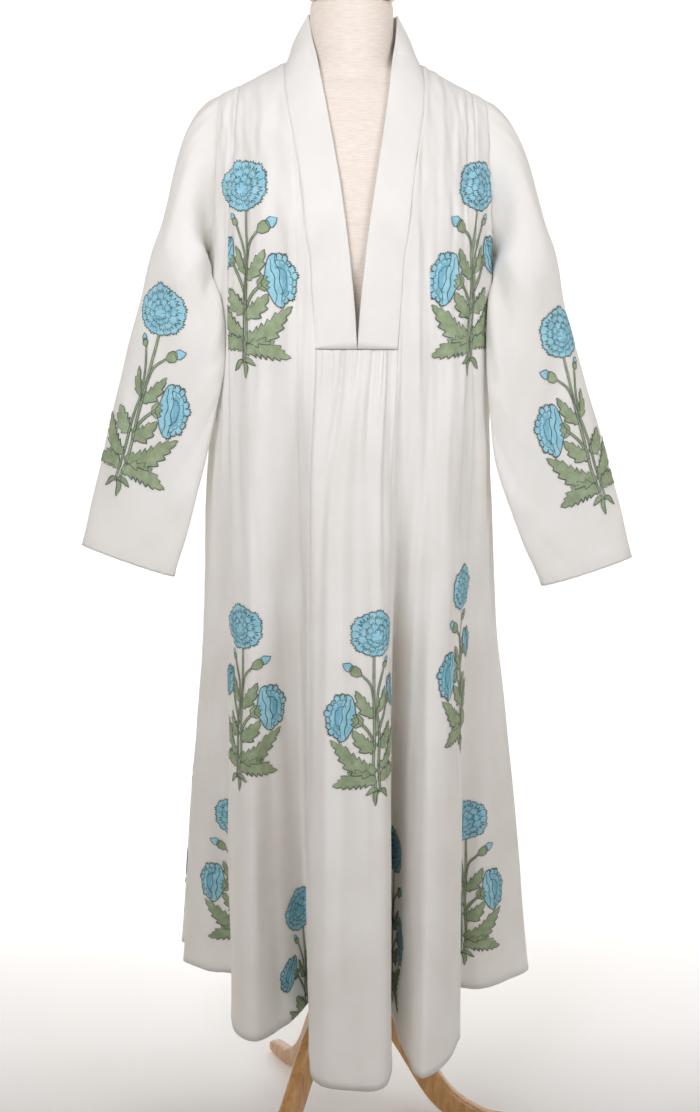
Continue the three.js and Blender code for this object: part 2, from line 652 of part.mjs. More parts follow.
/** Union of closed bodies. */
function join(manifold, parts) {
  const solids = parts.map((geometry) => {
    const indexed = geometry.index ? geometry : mergeVertices(geometry, 1e-4);
    const mesh = new manifold.Mesh({
      numProp: 3,
      vertProperties: new Float32Array(indexed.attributes.position.array),
      triVerts: new Uint32Array(indexed.index.array),
    });
    mesh.merge();
    return new manifold.Manifold(mesh);
  });
  const mesh = manifold.Manifold.union(solids).getMesh();
  const points = [];
  for (let i = 0; i < mesh.vertProperties.length; i += mesh.numProp) {
    points.push(new THREE.Vector3(...mesh.vertProperties.slice(i, i + 3)));
  }
  const faces = [];
  for (let i = 0; i < mesh.triVerts.length; i += 3) faces.push([...mesh.triVerts.slice(i, i + 3)]);
  return bodyFrom(points, faces);
}

/** Linen torso with its neck, whole, ending below the hips. */
function torso(manifold) {
  const half = curve(FORM_GIRTHS, "z", "half");
  const front = curve(FORM_GIRTHS, "z", "front");
  const back = curve(FORM_GIRTHS, "z", "back");
  const turns = Array.from({ length: 36 }, (unused, i) => -90 + i * 10);
  const heights = [846, 850, 866, 895, 930, 970, 1010, 1045, 1080, 1115, 1150, 1185, 1225, 1270];
  const rings = heights.map((z) => turns.map((turn) => {
    const [x, y] = ring(turn, z, half, front, back);
    return new THREE.Vector3(x, y, z);
  }));
  const levels = [-0.15, -0.3, -0.45, -0.6, -0.75, -0.88, -1];
  for (const level of levels) {
    rings.push(turns.map((turn) => {
      const [x, y] = ring(turn, ARMPIT_HEIGHT, half, front, back);
      return overShoulder(turn, level, x, y, FORM_SHOULDER_DROP, 0);
    }));
  }
  const body = ringBody(rings, new THREE.Vector3(0, 4, 845), null);
  const neckRings = NECK_RINGS.map(({ z, spread }) => Array.from({ length: 32 }, (unused, i) => {
    const angle = (2 * Math.PI * i) / 32;
    const x = NECK.x + NECK.halfWidth * spread * Math.sin(angle);
    const y = NECK.y - NECK.halfDepth * spread * Math.cos(angle);
    return new THREE.Vector3(x, y, z);
  }));
  const neck = ringBody(neckRings,
    new THREE.Vector3(NECK.x, NECK.y, NECK_RINGS[0].z), new THREE.Vector3(NECK.x, NECK.y, NECK.top));
  return join(manifold, [body, neck]);
}

/** Turned piece on an upright axis from radius and height pairs. */
function turned(profile, segments, x = 0, y = 0) {
  const lathe = new THREE.LatheGeometry(profile.map(([r, z]) => new THREE.Vector2(r, z)), segments);
  lathe.rotateX(Math.PI / 2);
  lathe.translate(x, y, 0);
  return lathe;
}

/** One curved leg, flat under the foot, its flat side against the hub. */
function leg(turn) {
  const upper = [];
  const lower = [];
  const thickAt = curve(LEG_LINE, "r", "thick");
  const zAt = curve(LEG_LINE, "r", "z");
  const last = LEG_LINE[LEG_LINE.length - 1].r;
  const stops = LEG_LINE.flatMap((row, i) => {
    const next = LEG_LINE[i + 1];
    return next ? [row.r, (row.r + next.r) / 2] : [row.r];
  });
  for (const r of stops) {
    const slope = (zAt(Math.min(last, r + 1)) - zAt(Math.max(29.4, r - 1))) / 2;
    const size = Math.hypot(1, slope);
    const half = thickAt(r) / 2;
    const straight = r === stops[0] ? 0 : 1;
    upper.push(new THREE.Vector2(r - (straight * half * slope) / size, zAt(r) + half / size));
    lower.push(new THREE.Vector2(r + (straight * half * slope) / size, Math.max(0, zAt(r) - half / size)));
  }
  const outline = [...lower, ...upper.reverse()];
  const geometry = new THREE.ExtrudeGeometry(new THREE.Shape(outline), {
    depth: LEG_WIDTH - 3,
    bevelEnabled: true,
    bevelSize: 1.5,
    bevelOffset: -1.5,
    bevelThickness: 1.5,
    bevelSegments: 1,
  });
  geometry.translate(0, 0, -(LEG_WIDTH - 3) / 2);
  geometry.rotateX(Math.PI / 2);
  geometry.rotateZ(radians(turn));
  return geometry;
}

const group = new THREE.Group();
group.name = "maxi_dress_on_form";

/** Adds one named piece with its own material. */
function add(name, geometry, color) {
  const material = new THREE.MeshStandardMaterial({ color, roughness: 0.9, name: `${name}_material` });
  const mesh = new THREE.Mesh(geometry, material);
  mesh.name = name;
  group.add(mesh);
}

const IVORY = "#f2efe6";
const LINEN = "#e6ddd0";
const WOOD = "#d8b48c";

const bandRight = seam(BAND_SEAM, "right");
const bandLeft = seam(BAND_SEAM, "left");
const princessRight = seam(PRINCESS_SEAM, "right");
const princessLeft = seam(PRINCESS_SEAM, "left");
const backLeft = seam(PRINCESS_SEAM, "back_left");
const backRight = seam(PRINCESS_SEAM, "back_right");
const wrapEnd = HEM.knots[HEM.knots.length - 1];
const sideRightFront = (level) => (level < 0 ? placeAt(-armholeTurn(level)) : 0);
const sideLeftFront = (level) => placeAt(level < 0 ? armholeTurn(level) : 90);
const sideLeftBack = (level) => placeAt(level < 0 ? 180 - armholeTurn(level) : 90);
const sideRightBack = (level) => (level < 0 ? placeAt(180 + armholeTurn(level)) : wrapEnd);

const centreShares = Array.from({ length: GATHER_COUNT * 4 + 1 }, (unused, i) => i / (GATHER_COUNT * 4));
const NECK_CORNERS = [151.7, 153.6, 156.4, 180, 203.6, 206.4, 208.3];
const PANELS = [
  ["front_centre", bandRight, bandLeft, { levels: CENTRE_LEVELS, shares: centreShares, lift: gathers }],
  ["front_right", princessRight, bandRight, {}],
  ["front_left", bandLeft, princessLeft, {}],
  ["side_front_right", sideRightFront, princessRight, {}],
  ["side_front_left", princessLeft, sideLeftFront, {}],
  ["side_back_right", backRight, sideRightBack, {}],
  ["side_back_left", sideLeftBack, backLeft, {}],
  ["back_centre", backLeft, backRight, { top: neckLevel, corners: NECK_CORNERS }],
];
let neckTurns = [];
for (const [name, from, to, options] of PANELS) {
  const { outer, normals, topTurns } = panel(from, to, options);
  add(name, wall(outer, normals, false), IVORY);
  if (name === "back_centre") neckTurns = topTurns;
}
const NEAR = 0.01;
const leftTurns = neckTurns.filter((turn) => turn > 151.7 - NEAR && turn < 180 + NEAR).reverse();
const rightTurns = neckTurns.filter((turn) => turn > 180 - NEAR && turn < 208.3 + NEAR).map((turn) => 360 - turn);
add("neckband_right", neckband(-1, bandRight, rightTurns), IVORY);
add("neckband_left", neckband(1, bandLeft, leftTurns), IVORY);
add("sleeve_right", sleeve(SLEEVE_RIGHT, -1), IVORY);
add("sleeve_left", sleeve(SLEEVE_LEFT, 1), IVORY);

const manifold = await ManifoldModule();
manifold.setup();
add("torso", torso(manifold), LINEN);
add("neck_cap", turned([
  [0, 1604.3], [56, 1604.3], [59.5, 1607], [59.5, 1613], [54, 1620], [32, 1627], [0, 1629.5],
], 40, NECK.x, NECK.y), WOOD);
add("pole", turned([[0, 212.3], [POLE_RADIUS, 212.3], [POLE_RADIUS, 844.6], [0, 844.6]], 28), WOOD);
add("hub", turned([
  [0, HUB.bottom], [24, HUB.bottom], [HUB.radius, 155], [HUB.radius, 206], [24, HUB.top], [0, HUB.top],
], 36), WOOD);
LEG_TURNS.forEach((turn, i) => add(`leg_${i + 1}`, leg(turn), WOOD));

// Origin at the middle of the footprint
const box = new THREE.Box3().setFromObject(group);
const middle = box.getCenter(new THREE.Vector3());
for (const mesh of group.children) mesh.geometry.translate(-middle.x, -middle.y, -box.min.z);

export default group;
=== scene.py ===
"""Looks of a long-sleeved, block-printed cotton maxi dress on a linen dress form with a wooden stand.

Sizes are in millimetres in the dress's own frame (origin on the floor at the pole, front towards -Y,
wearer's left towards +X) and turn into metres of the row frame when a mesh is made.
"""

import logging
import math
from dataclasses import dataclass, field
from enum import Enum
from typing import Callable, Iterable, Sequence

import bpy
import numpy as np
from mathutils import Matrix, Vector
from mathutils.geometry import delaunay_2d_cdt

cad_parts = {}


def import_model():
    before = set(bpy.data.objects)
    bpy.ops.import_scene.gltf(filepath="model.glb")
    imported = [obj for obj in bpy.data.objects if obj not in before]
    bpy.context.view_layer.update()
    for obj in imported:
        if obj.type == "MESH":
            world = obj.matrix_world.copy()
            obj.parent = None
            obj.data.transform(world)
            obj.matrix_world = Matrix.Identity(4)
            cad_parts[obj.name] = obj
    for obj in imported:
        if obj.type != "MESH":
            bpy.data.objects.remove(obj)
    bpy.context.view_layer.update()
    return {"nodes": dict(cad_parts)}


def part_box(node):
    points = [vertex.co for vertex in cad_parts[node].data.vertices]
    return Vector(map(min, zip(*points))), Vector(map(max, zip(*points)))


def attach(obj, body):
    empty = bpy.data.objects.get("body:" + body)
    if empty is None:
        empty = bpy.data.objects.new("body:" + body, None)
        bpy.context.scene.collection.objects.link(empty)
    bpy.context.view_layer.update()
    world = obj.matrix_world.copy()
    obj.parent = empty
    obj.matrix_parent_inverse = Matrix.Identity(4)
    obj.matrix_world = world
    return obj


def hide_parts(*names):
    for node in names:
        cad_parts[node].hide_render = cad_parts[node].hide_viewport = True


logging.basicConfig(level=logging.INFO, format="%(message)s")
LOG = logging.getLogger("dress")

Array = np.ndarray
Material = bpy.types.Material
Thing = bpy.types.Object
MM = 0.001
ROOT = "root"


class Side(Enum):
    """The wearer's sides."""

    RIGHT = -1
    LEFT = 1


class Slot(Enum):
    """Material slots."""

    COTTON = "cotton"
    LINEN = "linen"
    WOOD = "wood"


# Small maths


def blend(a, b, share):
    """Value between a and b.

    Args:
        a: value at share 0.
        b: value at share 1.
        share: 0 to 1.

    Returns:
        The mixed value.
    """
    return a + (b - a) * share


def ease(x: Array) -> Array:
    """Smooth step from 0 to 1.

    Args:
        x: values; below 0 gives 0, above 1 gives 1.

    Returns:
        Eased values.
    """
    x = np.clip(x, 0.0, 1.0)
    return x * x * (3.0 - 2.0 * x)


def hermite(a, b, slope_a, slope_b, width, share):
    """Cubic between a and b with a slope at each end.

    Args:
        a: value at the start.
        b: value at the end.
        slope_a: slope at the start.
        slope_b: slope at the end.
        width: length of the stretch.
        share: 0 to 1 along the stretch.

    Returns:
        The value there.
    """
    s2 = share * share
    s3 = s2 * share
    return (
        (2 * s3 - 3 * s2 + 1) * a
        + (s3 - 2 * s2 + share) * slope_a * width
        + (3 * s2 - 2 * s3) * b
        + (s3 - s2) * slope_b * width
    )


def unit(v: Array) -> Array:
    """Vectors of length one.

    Args:
        v: vectors in the last axis.

    Returns:
        The same directions, length one.
    """
    return v / np.maximum(np.linalg.norm(v, axis=-1, keepdims=True), 1e-12)


def travelled(path: Array) -> Array:
    """Distance along a line at each of its points.

    Args:
        path: points of the line.

    Returns:
        Distances from its first point.
    """
    return np.concatenate([[0], np.cumsum(np.linalg.norm(np.diff(path, axis=0), axis=1))])


class Curve:
    """Smooth curve through a table column that never swings past its rows."""

    def __init__(self, xs: Sequence[float], ys: Sequence[float]) -> None:
        """Args:
        xs: rising places.
        ys: value at each place.
        """
        self.xs = np.asarray(xs, float)
        self.ys = np.asarray(ys, float)
        rise = np.diff(self.ys) / np.diff(self.xs)
        slopes = np.empty_like(self.ys)
        slopes[0], slopes[-1] = rise[0], rise[-1]
        for i in range(1, len(rise)):
            product = rise[i - 1] * rise[i]
            slopes[i] = 0.0 if product <= 0 else 2 * product / (rise[i - 1] + rise[i])
        self.slopes = slopes

    def __call__(self, x: Array) -> Array:
        """Args:
            x: places; held at the table's ends.

        Returns:
            Values of the curve.
        """
        x = np.clip(np.asarray(x, float), self.xs[0], self.xs[-1])
        i = np.clip(np.searchsorted(self.xs, x, side="left") - 1, 0, len(self.xs) - 2)
        width = self.xs[i + 1] - self.xs[i]
        share = (x - self.xs[i]) / width
        return hermite(self.ys[i], self.ys[i + 1], self.slopes[i], self.slopes[i + 1], width, share)


def table(rows: Sequence[Sequence[float]], column: int, at: int = 0) -> Curve:
    """Curve of one table column.

    Args:
        rows: the table.
        column: column of the values.
        at: column of the places.

    Returns:
        The curve.
    """
    return Curve([row[at] for row in rows], [row[column] for row in rows])


# Shape of the dress

# Girth of the smooth dress: height, half width, front depth, back depth
GIRTHS = (
    (200, 265, 205, 215),
    (276, 258, 198, 208),
    (457, 242, 184, 192),
    (590, 227, 172, 176),
    (760, 209, 158, 156),
    (900, 201, 150, 140),
    (1040, 193, 142, 122),
    (1165, 187, 132, 111),
    (1270, 180, 124, 108),
)

# Shoulder line: distance from the middle, height
SHOULDER_LINE = ((0, 1545), (86, 1525), (143, 1497), (173, 1483), (200, 1466))

# Hem, fold by fold, seen from above: turn on the body in degrees, x, y, z at the hem, and where the
# fold begins as a share of the way from armpit to hem
FOLDS = (
    (-90, -238, 104, 215, 0.3),
    (-80, -206, 62, 215, 0.3),
    (-68, -152, 26, 216, 0.3),
    (-57, -167, -110, 208, 0.22),
    (-48, -137, -170, 205, 0.22),
    (-39, -92, -132, 210, 0.22),
    (-28, -52, -92, 226, 0.12),
    (-19.5, -62, -272, 201, 0.05),
    (-3, -14, -306, 197, 0.05),
    (11, 38, -292, 200, 0.05),
    (20, 50, -86, 226, 0.12),
    (28, 64, -205, 212, 0.15),
    (37, 84, -282, 200, 0.15),
    (48, 143, -193, 208, 0.12),
    (59, 156, -30, 216, 0.25),
    (71, 194, -32, 216, 0.25),
    (81, 240, 0, 215, 0.25),
    (90, 280, 58, 214, 0.25),
    (102, 212, 108, 218, 0.25),
    (114, 262, 178, 208, 0.2),
    (124, 222, 232, 205, 0.2),
    (134, 140, 150, 220, 0.2),
    (146, 146, 262, 206, 0.12),
    (157, 102, 298, 203, 0.12),
    (167, 56, 172, 221, 0.15),
    (176, 42, 296, 205, 0.1),
    (187, -18, 314, 202, 0.1),
    (197, -50, 186, 220, 0.15),
    (207, -76, 300, 204, 0.15),
    (218, -134, 272, 206, 0.15),
    (228, -128, 164, 220, 0.2),
    (239, -196, 246, 206, 0.22),
    (250, -244, 200, 208, 0.25),
    (261, -200, 130, 217, 0.3),
)

# Seams: level (-1 shoulder line, 0 armpit, 1 hem), then the turn of each seam
BAND_SEAM = (
    (-1, -28.3, 28.3),
    (-0.74, -30.2, 29.8),
    (-0.57, -29.3, 29),
    (-0.38, -26.3, 26),
    (-0.21, -23.4, 23.2),
    (-0.05, -21.2, 21),
    (0.036, -18.9, 18.6),
    (0.117, -17.2, 16.6),
    (0.3, -20, 15),
    (1, -23.5, 15.5),
)
PRINCESS_SEAM = (
    (-1, -54, 59, 121, 234),
    (-0.42, -58.6, 59, 122, 238),
    (0, -62, 59, 122, 238),
    (0.15, -58.5, 51, 127, 233),
    (0.3, -57, 48, 129, 233),
    (1, -57, 48, 129, 233),
)

# Level of the foot of the V, where the gathered panel begins
V_FOOT = 0.117

# Soft creases of the cloth: turn and level where each begins and ends, height (below 0 a valley), width
CREASES = (
    (-44, -0.3, -40, 0.7, 3.2, 15),
    (-36, 0.05, -33, 0.8, -3.0, 12),
    (-50, 0.1, -52, 0.75, -2.6, 13),
    (-30, -0.2, -24, 0.45, 2.6, 11),
    (-12, 0.14, -13, 0.9, 2.6, 8),
    (-6, 0.16, -7, 0.95, -2.8, 9),
    (2, 0.15, 1, 0.8, 2.4, 8),
    (6.5, 0.13, 6, 0.9, -3.2, 8),
    (25, -0.1, 24, 0.5, 2.8, 12),
    (33, 0.0, 31, 0.6, -3.0, 11),
    (41, -0.25, 42, 0.75, 2.4, 13),
    (56, 0.05, 56, 0.5, -3.0, 12),
    (66, 0.1, 66, 0.6, 2.8, 12),
    (-66, 0.1, -64, 0.6, 2.6, 12),
    (-75, 0.05, -76, 0.55, -2.4, 12),
    (-56, -0.5, -48, -0.05, -2.4, 12),
    (56, -0.55, 47, -0.1, -2.2, 12),
    (-63, -0.35, -54, 0.05, 2.4, 10),
    (62, -0.35, 53, 0.02, 2.2, 10),
    (31.5, -0.99, 30.5, -0.72, 1.6, 4),
    (34, -0.99, 33.5, -0.7, -1.6, 4),
    (36.5, -0.99, 36, -0.66, 1.5, 4.5),
    (39.5, -0.99, 40, -0.72, -1.3, 4.5),
    (-31.5, -0.99, -31, -0.8, 1.0, 4.5),
    (-35, -0.99, -35.5, -0.78, -1.1, 5),
    (104, 0.1, 104, 0.6, 2.6, 12),
    (116, 0.0, 118, 0.5, -2.6, 12),
    (140, -0.4, 143, 0.4, 2.6, 14),
    (151, -0.2, 152, 0.7, -2.6, 11),
    (162, -0.5, 163, 0.4, 2.2, 13),
    (172, 0.0, 172, 0.8, -2.4, 10),
    (182, -0.3, 181, 0.6, 2.6, 12),
    (192, 0.0, 192, 0.8, -2.4, 10),
    (202, -0.45, 201, 0.5, 2.4, 13),
    (213, -0.1, 212, 0.7, -2.6, 11),
    (223, -0.35, 224, 0.5, 2.4, 12),
    (244, 0.05, 245, 0.6, -2.4, 12),
    (256, 0.1, 256, 0.6, 2.4, 12),
)


# Gathers under the neckband: place across the panel at the seam and lower down, depth, width, reach
GATHERS = (
    (0.05, 0.03, 2.2, 3.2, 60),
    (0.14, 0.12, 2.8, 3.6, 70),
    (0.226, 0.16, 5.8, 4.6, 360),
    (0.30, 0.29, 3.0, 3.4, 80),
    (0.37, 0.34, 4.2, 6.0, 270),
    (0.50, 0.53, 5.0, 5.0, 300),
    (0.575, 0.57, 2.4, 3.0, 60),
    (0.64, 0.66, 3.2, 3.6, 90),
    (0.70, 0.71, 2.0, 3.0, 45),
    (0.76, 0.81, 5.8, 5.0, 350),
    (0.85, 0.87, 2.6, 3.4, 60),
    (0.935, 0.92, 3.2, 5.0, 200),
)


# Seams: depth and half width of the dent, height and reach of the puckers beside it
DENT, DENT_WIDTH = 1.1, 2.4
PUCKER, PUCKER_REACH = 0.55, 8.0

# Turned hem: how much it stands out, height of its edge, then depth, height and half width of the
# groove that the stitches draw in
HEM_STEP, HEM_EDGE = 0.5, 9.0
GROOVE, GROOVE_HEIGHT, GROOVE_WIDTH = 0.7, 11.5, 1.6


@dataclass
class DressShape:
    """The surface of the dress as one function of a running place round it and a level down it.

    Attributes:
        armpit: height of the armpit level.
        hem: mean height of the hem.
        shoulder_y: where the shoulder line lies, front to back.
        squareness: how far the body section is from an ellipse.
        fullness: how far the sides widen at the underarm.
        fullness_from: height it starts at.
        fullness_full: height it is full at.
    """

    armpit: float = 1270.0
    hem: float = 215.0
    shoulder_y: float = 8.0
    squareness: float = 0.045
    fullness: float = 13.0
    fullness_from: float = 1040.0
    fullness_full: float = 1240.0
    seams: dict[str, Callable[[Array], Array]] = field(default_factory=dict)

    def __post_init__(self) -> None:
        """Builds the curves of the tables."""
        self.half, self.front, self.back = (table(GIRTHS, c) for c in (1, 2, 3))
        self.shoulder = table(SHOULDER_LINE, 1)
        places = np.array([(row[1], row[2]) for row in FOLDS], float)
        steps = np.sqrt(np.linalg.norm(np.roll(places, -1, axis=0) - places, axis=1))
        self.knots = np.concatenate([[0.0], np.cumsum(steps)])
        turns = np.linspace(0, self.knots[-1], 6000)
        self.turn_samples = (self.hem_column(0, turns, wrap=360.0), turns)
        for key, rows, column in (
            ("band_right", BAND_SEAM, 1),
            ("band_left", BAND_SEAM, 2),
            ("princess_right", PRINCESS_SEAM, 1),
            ("princess_left", PRINCESS_SEAM, 2),
            ("back_left", PRINCESS_SEAM, 3),
            ("back_right", PRINCESS_SEAM, 4),
        ):
            self.seams[key] = self.seam(table(rows, column))
        self.seams["side_right_front"] = lambda level: self.place_at(
            np.where(level < 0, -self.armhole_turn(level), -90.0)
        )
        self.seams["side_left_front"] = lambda level: self.place_at(
            np.where(level < 0, self.armhole_turn(level), 90.0)
        )
        self.seams["side_left_back"] = lambda level: self.place_at(
            np.where(level < 0, 180 - self.armhole_turn(level), 90.0)
        )
        self.seams["side_right_back"] = lambda level: self.place_at(
            np.where(level < 0, 180 + self.armhole_turn(level), 270.0)
        )

    def hem_column(self, column: int, place: Array, wrap: float = 0.0) -> Array:
        """One column of the hem table as a smooth closed curve.

        Args:
            column: column of FOLDS.
            place: running places.
            wrap: what the column gains in one round.

        Returns:
            Values at the places.
        """
        count = len(FOLDS)
        values = np.array([row[column] for row in FOLDS], float)
        values = np.concatenate([[values[-1] - wrap], values, [values[0] + wrap, values[1] + wrap]])
        around = self.knots[-1]
        knots = np.concatenate([[self.knots[-2] - around], self.knots, [self.knots[1] + around]])
        slopes = (values[2:] - values[:-2]) / (knots[2:] - knots[:-2])
        i = np.clip(np.searchsorted(self.knots, place, side="left") - 1, 0, count - 1)
        width = self.knots[i + 1] - self.knots[i]
        share = (place - self.knots[i]) / width
        return hermite(values[i + 1], values[i + 2], slopes[i], slopes[i + 1], width, share)

    def place_at(self, turn: Array) -> Array:
        """Running place of a turn.

        Args:
            turn: degrees, -90 to 270.

        Returns:
            Running places.
        """
        return np.interp(turn, *self.turn_samples)

    def seam(self, turn_at: Curve) -> Callable[[Array], Array]:
        """Seam line as running place by level.

        Args:
            turn_at: turn of the seam by level.

        Returns:
            The seam's function.
        """
        return lambda level: self.place_at(turn_at(level))

    @staticmethod
    def armhole_turn(level: Array) -> Array:
        """Turn of the armhole's front edge from the shoulder point to the armpit.

        Args:
            level: -1 to 0.

        Returns:
            Degrees from the front.
        """
        level = np.asarray(level, float)
        upper = blend(68.0, 71.0, np.sin(np.radians(90 * np.clip((level + 1) / 0.5, 0, 1))))
        reach = np.clip((level + 0.5) / 0.5, 0, 1)
        return upper + 19 * (1 - np.sqrt(1 - reach * reach))

    @staticmethod
    def neck_level(turn: Array) -> Array:
        """Level of the back neckline.

        Args:
            turn: degrees, round 180.

        Returns:
            Levels, -1 at the shoulder line.
        """
        share = np.minimum(1.0, np.abs(np.asarray(turn) - 180) / 28.3)
        return -blend(0.665, 1.0, share**2.4)

    def ring(self, turn: Array, z: Array) -> tuple[Array, Array]:
        """Smooth body section.

        Args:
            turn: degrees.
            z: heights.

        Returns:
            x and y of the section.
        """
        angle = np.radians(turn)
        s, c = np.sin(angle), np.cos(angle)
        square = 1 + self.squareness * np.sin(2 * angle) ** 2
        depth = np.where(c >= 0, self.front(z), self.back(z))
        high = np.clip((z - self.fullness_from) / (self.fullness_full - self.fullness_from), 0, 1)
        fullness = self.fullness * ease((np.abs(s) - 0.8) / 0.2) * high
        return self.half(z) * s * square + np.sign(s) * fullness, -depth * c * square

    def over_shoulder(self, turn: Array, level: Array, x: Array, y: Array) -> Array:
        """Rounds the body over from the armpit level to the shoulder line.

        Args:
            turn: degrees.
            level: -1 to 0.
            x: x at the armpit level.
            y: y at the armpit level.

        Returns:
            Points.
        """
        bend_power = 2 / (2.3 - 0.3 * np.cos(np.radians(turn)))
        angle = np.radians(90 * np.clip(1 + level, 0, 1))
        down = 1 - np.maximum(np.cos(angle), 0) ** bend_power
        out = np.sin(angle) ** bend_power
        return np.stack(
            [x, blend(self.shoulder_y, y, out), blend(self.shoulder(np.abs(x)), self.armpit, down)], axis=-1
        )

    def plain(self, place: Array, level: Array) -> Array:
        """The dress with its main folds and nothing finer.

        Args:
            place: running places.
            level: levels.

        Returns:
            Points.
        """
        place, level = np.broadcast_arrays(np.asarray(place, float), np.asarray(level, float))
        turn = self.hem_column(0, place, 360.0)
        x0, y0 = self.ring(turn, np.full_like(place, self.armpit))
        upper = self.over_shoulder(turn, np.minimum(level, 0), x0, y0)
        low = np.maximum(level, 0)
        hem_z = self.hem_column(3, place)
        z = blend(self.armpit, self.hem, low) + (hem_z - self.hem) * low * low
        start = self.hem_column(4, place)
        fold = np.maximum(0, (low - start) / (1 - start)) ** 1.15
        x, y = self.ring(turn, z)
        hem_x, hem_y = self.ring(turn, hem_z)
        lower = np.stack(
            [
                x + fold * (self.hem_column(1, place) - hem_x),
                y + fold * (self.hem_column(2, place) - hem_y),
                z,
            ],
            axis=-1,
        )
        return np.where((level < 0)[..., None], upper, lower)

    def directions(
        self, surface: Callable[[Array, Array], Array], place: Array, level: Array
    ) -> tuple[Array, Array]:
        """Outward direction and stretch of a surface.

        Args:
            surface: function of place and level.
            place: running places.
            level: levels.

        Returns:
            Outward unit vectors, and millimetres per unit of place.
        """
        step = 0.02
        along = (surface(place + step, level) - surface(place - step, level)) / (2 * step)
        high = surface(place, np.minimum(level + 0.002, 1.0))
        down = high - surface(place, np.maximum(level - 0.002, -1.0))
        return unit(np.cross(down, along)), np.linalg.norm(along, axis=-1)

    def relief(self, place: Array, level: Array, stretch: Array) -> Array:
        """Height of the finer cloth above the main folds: creases, seams, gathers, soft unevenness.

        Args:
            place: running places.
            level: levels.
            stretch: millimetres per unit of place.

        Returns:
            Millimetres outwards.
        """
        total = np.zeros_like(place)
        for turn_a, level_a, turn_b, level_b, height, width in CREASES:
            share = (level - level_a) / (level_b - level_a)
            middle = blend(self.place_at(turn_a), self.place_at(turn_b), np.clip(share, 0, 1))
            shape = np.exp(-(((place - middle) * stretch / width) ** 2))
            total += 0.95 * height * shape * ease(share * 5) * ease((1 - share) * 3)
        for key, seam in self.seams.items():
            if key.startswith("side_") and np.all(level < 0):
                continue
            away = np.abs(place - seam(level)) * stretch
            total -= DENT * np.exp(-((away / DENT_WIDTH) ** 2))
            ripple = np.sin(level * 88 + len(key)) * np.sin(level * 41 + 2 * len(key))
            total += PUCKER * ripple * np.exp(-away / PUCKER_REACH)
        a, b = self.seams["band_right"](level), self.seams["band_left"](level)
        u = (place - a) / (b - a)
        fall = (self.armpit - self.hem) * (level - V_FOOT)
        within = np.clip(np.minimum(u, 1 - u) * 20, 0, 1) * (level > V_FOOT - 0.0005)
        for top_u, low_u, depth, width, reach in GATHERS:
            middle = blend(top_u, low_u, ease(fall / 260))
            wide = width * (0.72 + 0.98 * ease(fall / 200))
            dent = np.exp(-(((u - middle) * (b - a) * stretch / wide) ** 2))
            total -= depth * dent * np.exp(-((fall / reach) ** 2)) * within
        total += 1.6 * within * np.exp(-((fall / 120) ** 2))
        above = (1 - level) * (self.armpit - self.hem)
        puckers = 1 + 0.5 * np.sin(place * 17 + 2 * np.sin(place * 5))
        total += HEM_STEP * (1 - ease((above - HEM_EDGE) / 2.0)) * puckers
        total -= GROOVE * np.exp(-(((above - GROOVE_HEIGHT) / GROOVE_WIDTH) ** 2))
        soft = (
            0.9 * np.sin(place * 0.52 + 3.1 * level + 0.4)
            + 0.8 * np.sin(place * 0.87 - 2.3 * level + 1.9)
            + 0.25 * np.sin(place * 1.63 + 4.7 * level + 0.7)
            + 0.5 * np.sin(place * 0.7 + 19.0 * level + 1.2 * np.sin(place * 0.31))
            + 0.35 * np.sin(place * 1.1 - 27.0 * level + 2.0)
        )
        return total + soft * ease((level + 0.95) * 3) * 0.8

    def surface(self, place: Array, level: Array) -> Array:
        """The finished cloth surface.

        Args:
            place: running places.
            level: levels.

        Returns:
            Points.
        """
        place, level = np.broadcast_arrays(np.asarray(place, float), np.asarray(level, float))
        normal, stretch = self.directions(self.plain, place, level)
        return self.plain(place, level) + normal * self.relief(place, level, stretch)[..., None]

    def lifted(self, place: Array, level: Array, lift: float) -> Array:
        """The cloth surface moved out along itself.

        Args:
            place: running places.
            level: levels.
            lift: millimetres outwards.

        Returns:
            Points.
        """
        normal, _ = self.directions(self.surface, np.asarray(place, float), np.asarray(level, float))
        return self.surface(place, level) + normal * lift

    def front_depth(self, x: Array, z: Array) -> Array:
        """Front of the bodice at a width and height.

        Args:
            x: widths.
            z: heights.

        Returns:
            y there.
        """
        x, z = np.abs(np.asarray(x, float)), np.asarray(z, float)
        height = np.minimum(z, self.armpit)
        low, high = np.zeros_like(x), np.full_like(x, 89.0)
        for _ in range(24):
            middle = (low + high) / 2
            inside = self.ring(middle, height)[0] < x
            low, high = np.where(inside, middle, low), np.where(inside, high, middle)
        y = self.ring(low, height)[1]
        top = self.shoulder(x)
        power = 2.3 - 0.3 * np.cos(np.radians(low))
        down = np.clip((top - z) / (top - self.armpit), 0, 1)
        upper = blend(self.shoulder_y, y, (1 - (1 - down) ** power) ** (1 / power))
        return np.where(z <= self.armpit, y, upper)


# Meshes


def to_row(points: Array, axis: Array) -> Array:
    """Millimetres of the dress frame to metres of the row frame.

    Args:
        points: points.
        axis: x and y of the pole in the row frame, metres.

    Returns:
        Points in metres.
    """
    flat = np.asarray(points, float).reshape(-1, 3) * MM
    return flat + np.array([axis[0], axis[1], 0.0])


